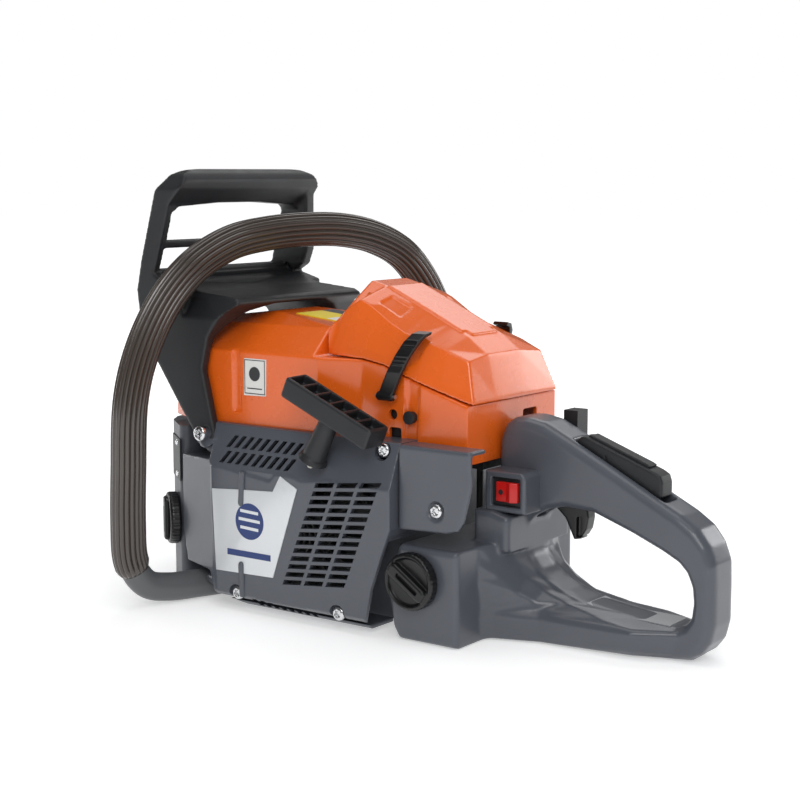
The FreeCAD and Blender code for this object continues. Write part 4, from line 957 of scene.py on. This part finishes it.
PULL_START = Vector((-22, 91, 116))
PULL_WAY = Vector((-21, 0, 39)).normalized()
GRIP_CENTRE = PULL_START + PULL_WAY * 43
grip_along = Vector((-72, -2, -32)).normalized()
grip_across = PULL_WAY.cross(grip_along).normalized()
grip_up = grip_along.cross(grip_across).normalized()
if grip_up.dot(PULL_WAY) < 0:
    grip_up = -grip_up


def on_grip(u, v, w):
    """A point of the pull handle's bar from its own length, width and height."""
    return tuple(GRIP_CENTRE + grip_along * u + grip_across * v + grip_up * w)


def grip_block(low, high):
    """A box in the pull handle's own directions."""
    verts, faces = box(low, high)
    return [on_grip(*point) for point in verts], faces


def grip_pillow(outline, low, high, radius):
    """A pillow across the pull handle's bar, drawn along its length."""
    verts, faces = pillow(outline, "z", low, high, radius)
    return [on_grip(*point) for point in verts], faces


bar_outline = [(-39, -10), (-39, 10), (-37, 11), (37, 11), (39, 10), (39, -10), (37, -11), (-37, -11)]
pull_adds = [grip_pillow(bar_outline, -7.5, 7.5, 1.5),
             bar(tuple(PULL_START + PULL_WAY * 2.4), tuple(GRIP_CENTRE - PULL_WAY * 3), 8.8, 6.4, 40),
             bar(tuple(PULL_START + PULL_WAY * 2.4), tuple(PULL_START + PULL_WAY * 6.0), 11.0, 9.5, 40)]
pull_cuts = []
for index in range(6):
    middle = -31.5 + index * 12.6
    pull_cuts.append(grip_block((middle - 5.2, -8.2, 1.0), (middle + 5.2, 8.2, 12)))
pull = moulded("pull_handle_moulding", pull_adds, pull_cuts, 0.7, 2, BLACK, 0.5)
finished(pull, "pull_handle", "black", "pull_handle")

# The rope runs from the cover's mouth into the handle.
ROPE_RADIUS = 1.9
rope_route = [PULL_START + PULL_WAY * (-3.0 + 0.5 * step) for step in range(31)]
rope = new_object("starter_rope_skin", *swept(rope_route, lambda step, angle: ROPE_RADIUS, 20), ROPE)
shade(rope, 60.0)
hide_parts("starter_rope")
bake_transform(rope)

# ---------------------------------------------------------------- caps


def cap_piece(name, seat, direction, body, node, twist):
    """A screw cap: knurled rim, hollowed face and a grip bar across it with a slot."""
    base = Vector(seat)
    heading = Vector(direction).normalized()
    side = heading.cross(Vector((0, 0, 1))).normalized()
    up = side.cross(heading).normalized()
    slant = side * math.cos(twist) + up * math.sin(twist)
    across = heading.cross(slant)

    def at(u, v, w):
        """A point from the cap's own two face directions and its height."""
        return tuple(base + slant * u + across * v + heading * w)

    loops = []
    for reach, height, wave in ((12.0, 0.4, 0.0), (19.0, 0.4, 0.25), (19.9, 1.2, 0.45), (20.0, 6.4, 0.45),
                                (19.2, 8.0, 0.25), (17.6, 8.6, 0.0), (16.6, 8.2, 0.0), (15.8, 6.2, 0.0),
                                (8.0, 5.6, 0.0), (0.1, 5.4, 0.0)):
        loop = []
        for index in range(144):
            angle = 2.0 * math.pi * index / 144
            far = reach - wave * (0.5 + 0.5 * math.cos(36 * angle))
            loop.append(at(far * math.cos(angle), far * math.sin(angle), height))
        loops.append(loop)
    disc = stacked(loops)
    rib_loops = []
    rib_plan = ((-1, -0.75), (-0.85, -1), (0.85, -1), (1, -0.75), (1, 0.75), (0.85, 1), (-0.85, 1),
                (-1, 0.75))
    for height, grow in ((3.0, 0.0), (9.6, 0.0), (10.8, -0.5), (11.3, -1.4)):
        rib_loops.append([at(u * (16.6 + grow), v * (4.9 + grow), height) for u, v in rib_plan])
    rib = stacked(rib_loops)
    slot_loops = [[at(u, v, height) for u, v in ((-11, -1.5), (9, -1.5), (9, 1.5), (-11, 1.5))]
                  for height in (8.4, 13.0)]
    cap = moulded(name, [disc, rib], [stacked(slot_loops)], 0.55, 2, BLACK_GLOSS, 0.45)
    plug = bar(at(0, 0, -8.6), at(0, 0, 1.0), 11.0, sides=48)
    neck = new_object(name + "_plug", *plug, BLACK)
    shade(neck, 40.0)
    finished(cap, body, "black", node)
    finished(neck, body, "black")


cap_piece("fuel_cap_moulding", (-102, 80.0, 43), (0, 1, 0), "fuel_cap", "fuel_cap", math.radians(34))
cap_piece("oil_cap_moulding", (138, 56.75, 53), (26, 33, 0), "oil_cap", "oil_cap", math.radians(90))

# ---------------------------------------------------------------- camera, light and floor

VIEW_AZIMUTH = math.radians(36.4)
VIEW_PITCH = math.radians(7.7)
SENSOR = 36.0
LENS = 75.375
EYE = Vector((-0.7463, 0.9703, 0.3138))
view_direction = Vector((math.sin(VIEW_AZIMUTH) * math.cos(VIEW_PITCH),
                         -math.cos(VIEW_AZIMUTH) * math.cos(VIEW_PITCH), -math.sin(VIEW_PITCH)))
camera_data = bpy.data.cameras.new("camera")
camera_data.sensor_width = SENSOR
camera_data.lens = LENS
camera = bpy.data.objects.new("camera", camera_data)
camera.location = EYE
camera.rotation_euler = view_direction.to_track_quat("-Z", "Y").to_euler()
bpy.context.scene.collection.objects.link(camera)
bpy.context.scene.camera = camera

floor_material, floor_tree, floor_shader = principled("studio_floor")
floor_tint = ramp_between(floor_tree, noise_node(floor_tree, 3.0).outputs["Fac"], 0.3, 0.7,
                          (0.80, 0.80, 0.80), (0.82, 0.82, 0.82))
floor_tree.links.new(floor_tint.outputs["Color"], floor_shader.inputs["Base Color"])
floor_shader.inputs["Roughness"].default_value = 0.55
# The floor glows as well as taking light, though it is no lamp: painted light. The glow is 0.42 within 0.3 m
# of the middle and rises to 0.80 at 1.6 m. The far floor turns white, and the floor round the object stays
# darker as painted shade.
floor_shader.inputs["Emission Color"].default_value = (1.0, 1.0, 1.0, 1.0)
ground = floor_tree.nodes.new("ShaderNodeTexCoord")
distance = floor_tree.nodes.new("ShaderNodeVectorMath")
distance.operation = "LENGTH"
floor_tree.links.new(ground.outputs["Object"], distance.inputs[0])
glow = floor_tree.nodes.new("ShaderNodeMapRange")
glow.inputs["From Min"].default_value = 0.3
glow.inputs["From Max"].default_value = 1.6
glow.inputs["To Min"].default_value = 0.42
glow.inputs["To Max"].default_value = 0.80
floor_tree.links.new(distance.outputs["Value"], glow.inputs["Value"])
floor_tree.links.new(glow.outputs["Result"], floor_shader.inputs["Emission Strength"])
FLOOR_HALF = 9000
FLOOR_LEVEL = -0.5
floor_corners = [(u * FLOOR_HALF, v * FLOOR_HALF, FLOOR_LEVEL)
                 for u, v in ((-1, -1), (1, -1), (1, 1), (-1, 1))]
floor = new_object("floor", floor_corners, [(0, 1, 2, 3)], floor_material)

# Name, place, width, height and power of each area light, all aimed at AIM.
AIM = Vector((-0.05, 0.0, 0.12))
LIGHTS = [
    ("key_light", (-1.1, 1.5, 1.3), 1.1, 0.8, 15.0),
    ("top_light", (0.0, 0.2, 1.9), 1.8, 1.0, 10.0),
    ("sheen_light", (0.4, -1.4, 1.5), 1.6, 1.0, 9.0),
    ("rear_light", (-0.72, -1.42, 0.5), 0.5, 0.6, 5.0),
    ("front_light", (1.7, 0.0, 0.45), 0.3, 1.3, 4.0),
]
for light_name, place, width, height, power in LIGHTS:
    light_data = bpy.data.lights.new(light_name, "AREA")
    light_data.shape = "RECTANGLE"
    light_data.size = width
    light_data.size_y = height
    light_data.energy = power
    light = bpy.data.objects.new(light_name, light_data)
    light.location = place
    light.rotation_euler = (AIM - Vector(place)).to_track_quat("-Z", "Y").to_euler()
    bpy.context.scene.collection.objects.link(light)

# The backdrop is white to the camera, soft as fill light, and dim in reflections.
world = bpy.data.worlds.new("studio")
world.use_nodes = True
sky = world.node_tree
backdrop = sky.nodes["Background"]
backdrop.inputs["Color"].default_value = (1.0, 1.0, 1.0, 1.0)
backdrop.inputs["Strength"].default_value = 1.0
fill = sky.nodes.new("ShaderNodeBackground")
fill.inputs["Color"].default_value = (0.96, 0.98, 1.0, 1.0)
fill.inputs["Strength"].default_value = 0.42
seen = sky.nodes.new("ShaderNodeLightPath")
choice = sky.nodes.new("ShaderNodeMixShader")
sky.links.new(seen.outputs["Is Camera Ray"], choice.inputs["Fac"])
sky.links.new(fill.outputs["Background"], choice.inputs[1])
sky.links.new(backdrop.outputs["Background"], choice.inputs[2])
dim = sky.nodes.new("ShaderNodeBackground")
dim.inputs["Strength"].default_value = 0.14
mirrored_choice = sky.nodes.new("ShaderNodeMixShader")
sky.links.new(seen.outputs["Is Glossy Ray"], mirrored_choice.inputs["Fac"])
sky.links.new(choice.outputs["Shader"], mirrored_choice.inputs[1])
sky.links.new(dim.outputs["Background"], mirrored_choice.inputs[2])
sky.links.new(mirrored_choice.outputs["Shader"], sky.nodes["World Output"].inputs["Surface"])
bpy.context.scene.world = world
bpy.context.scene.view_settings.view_transform = "Standard"
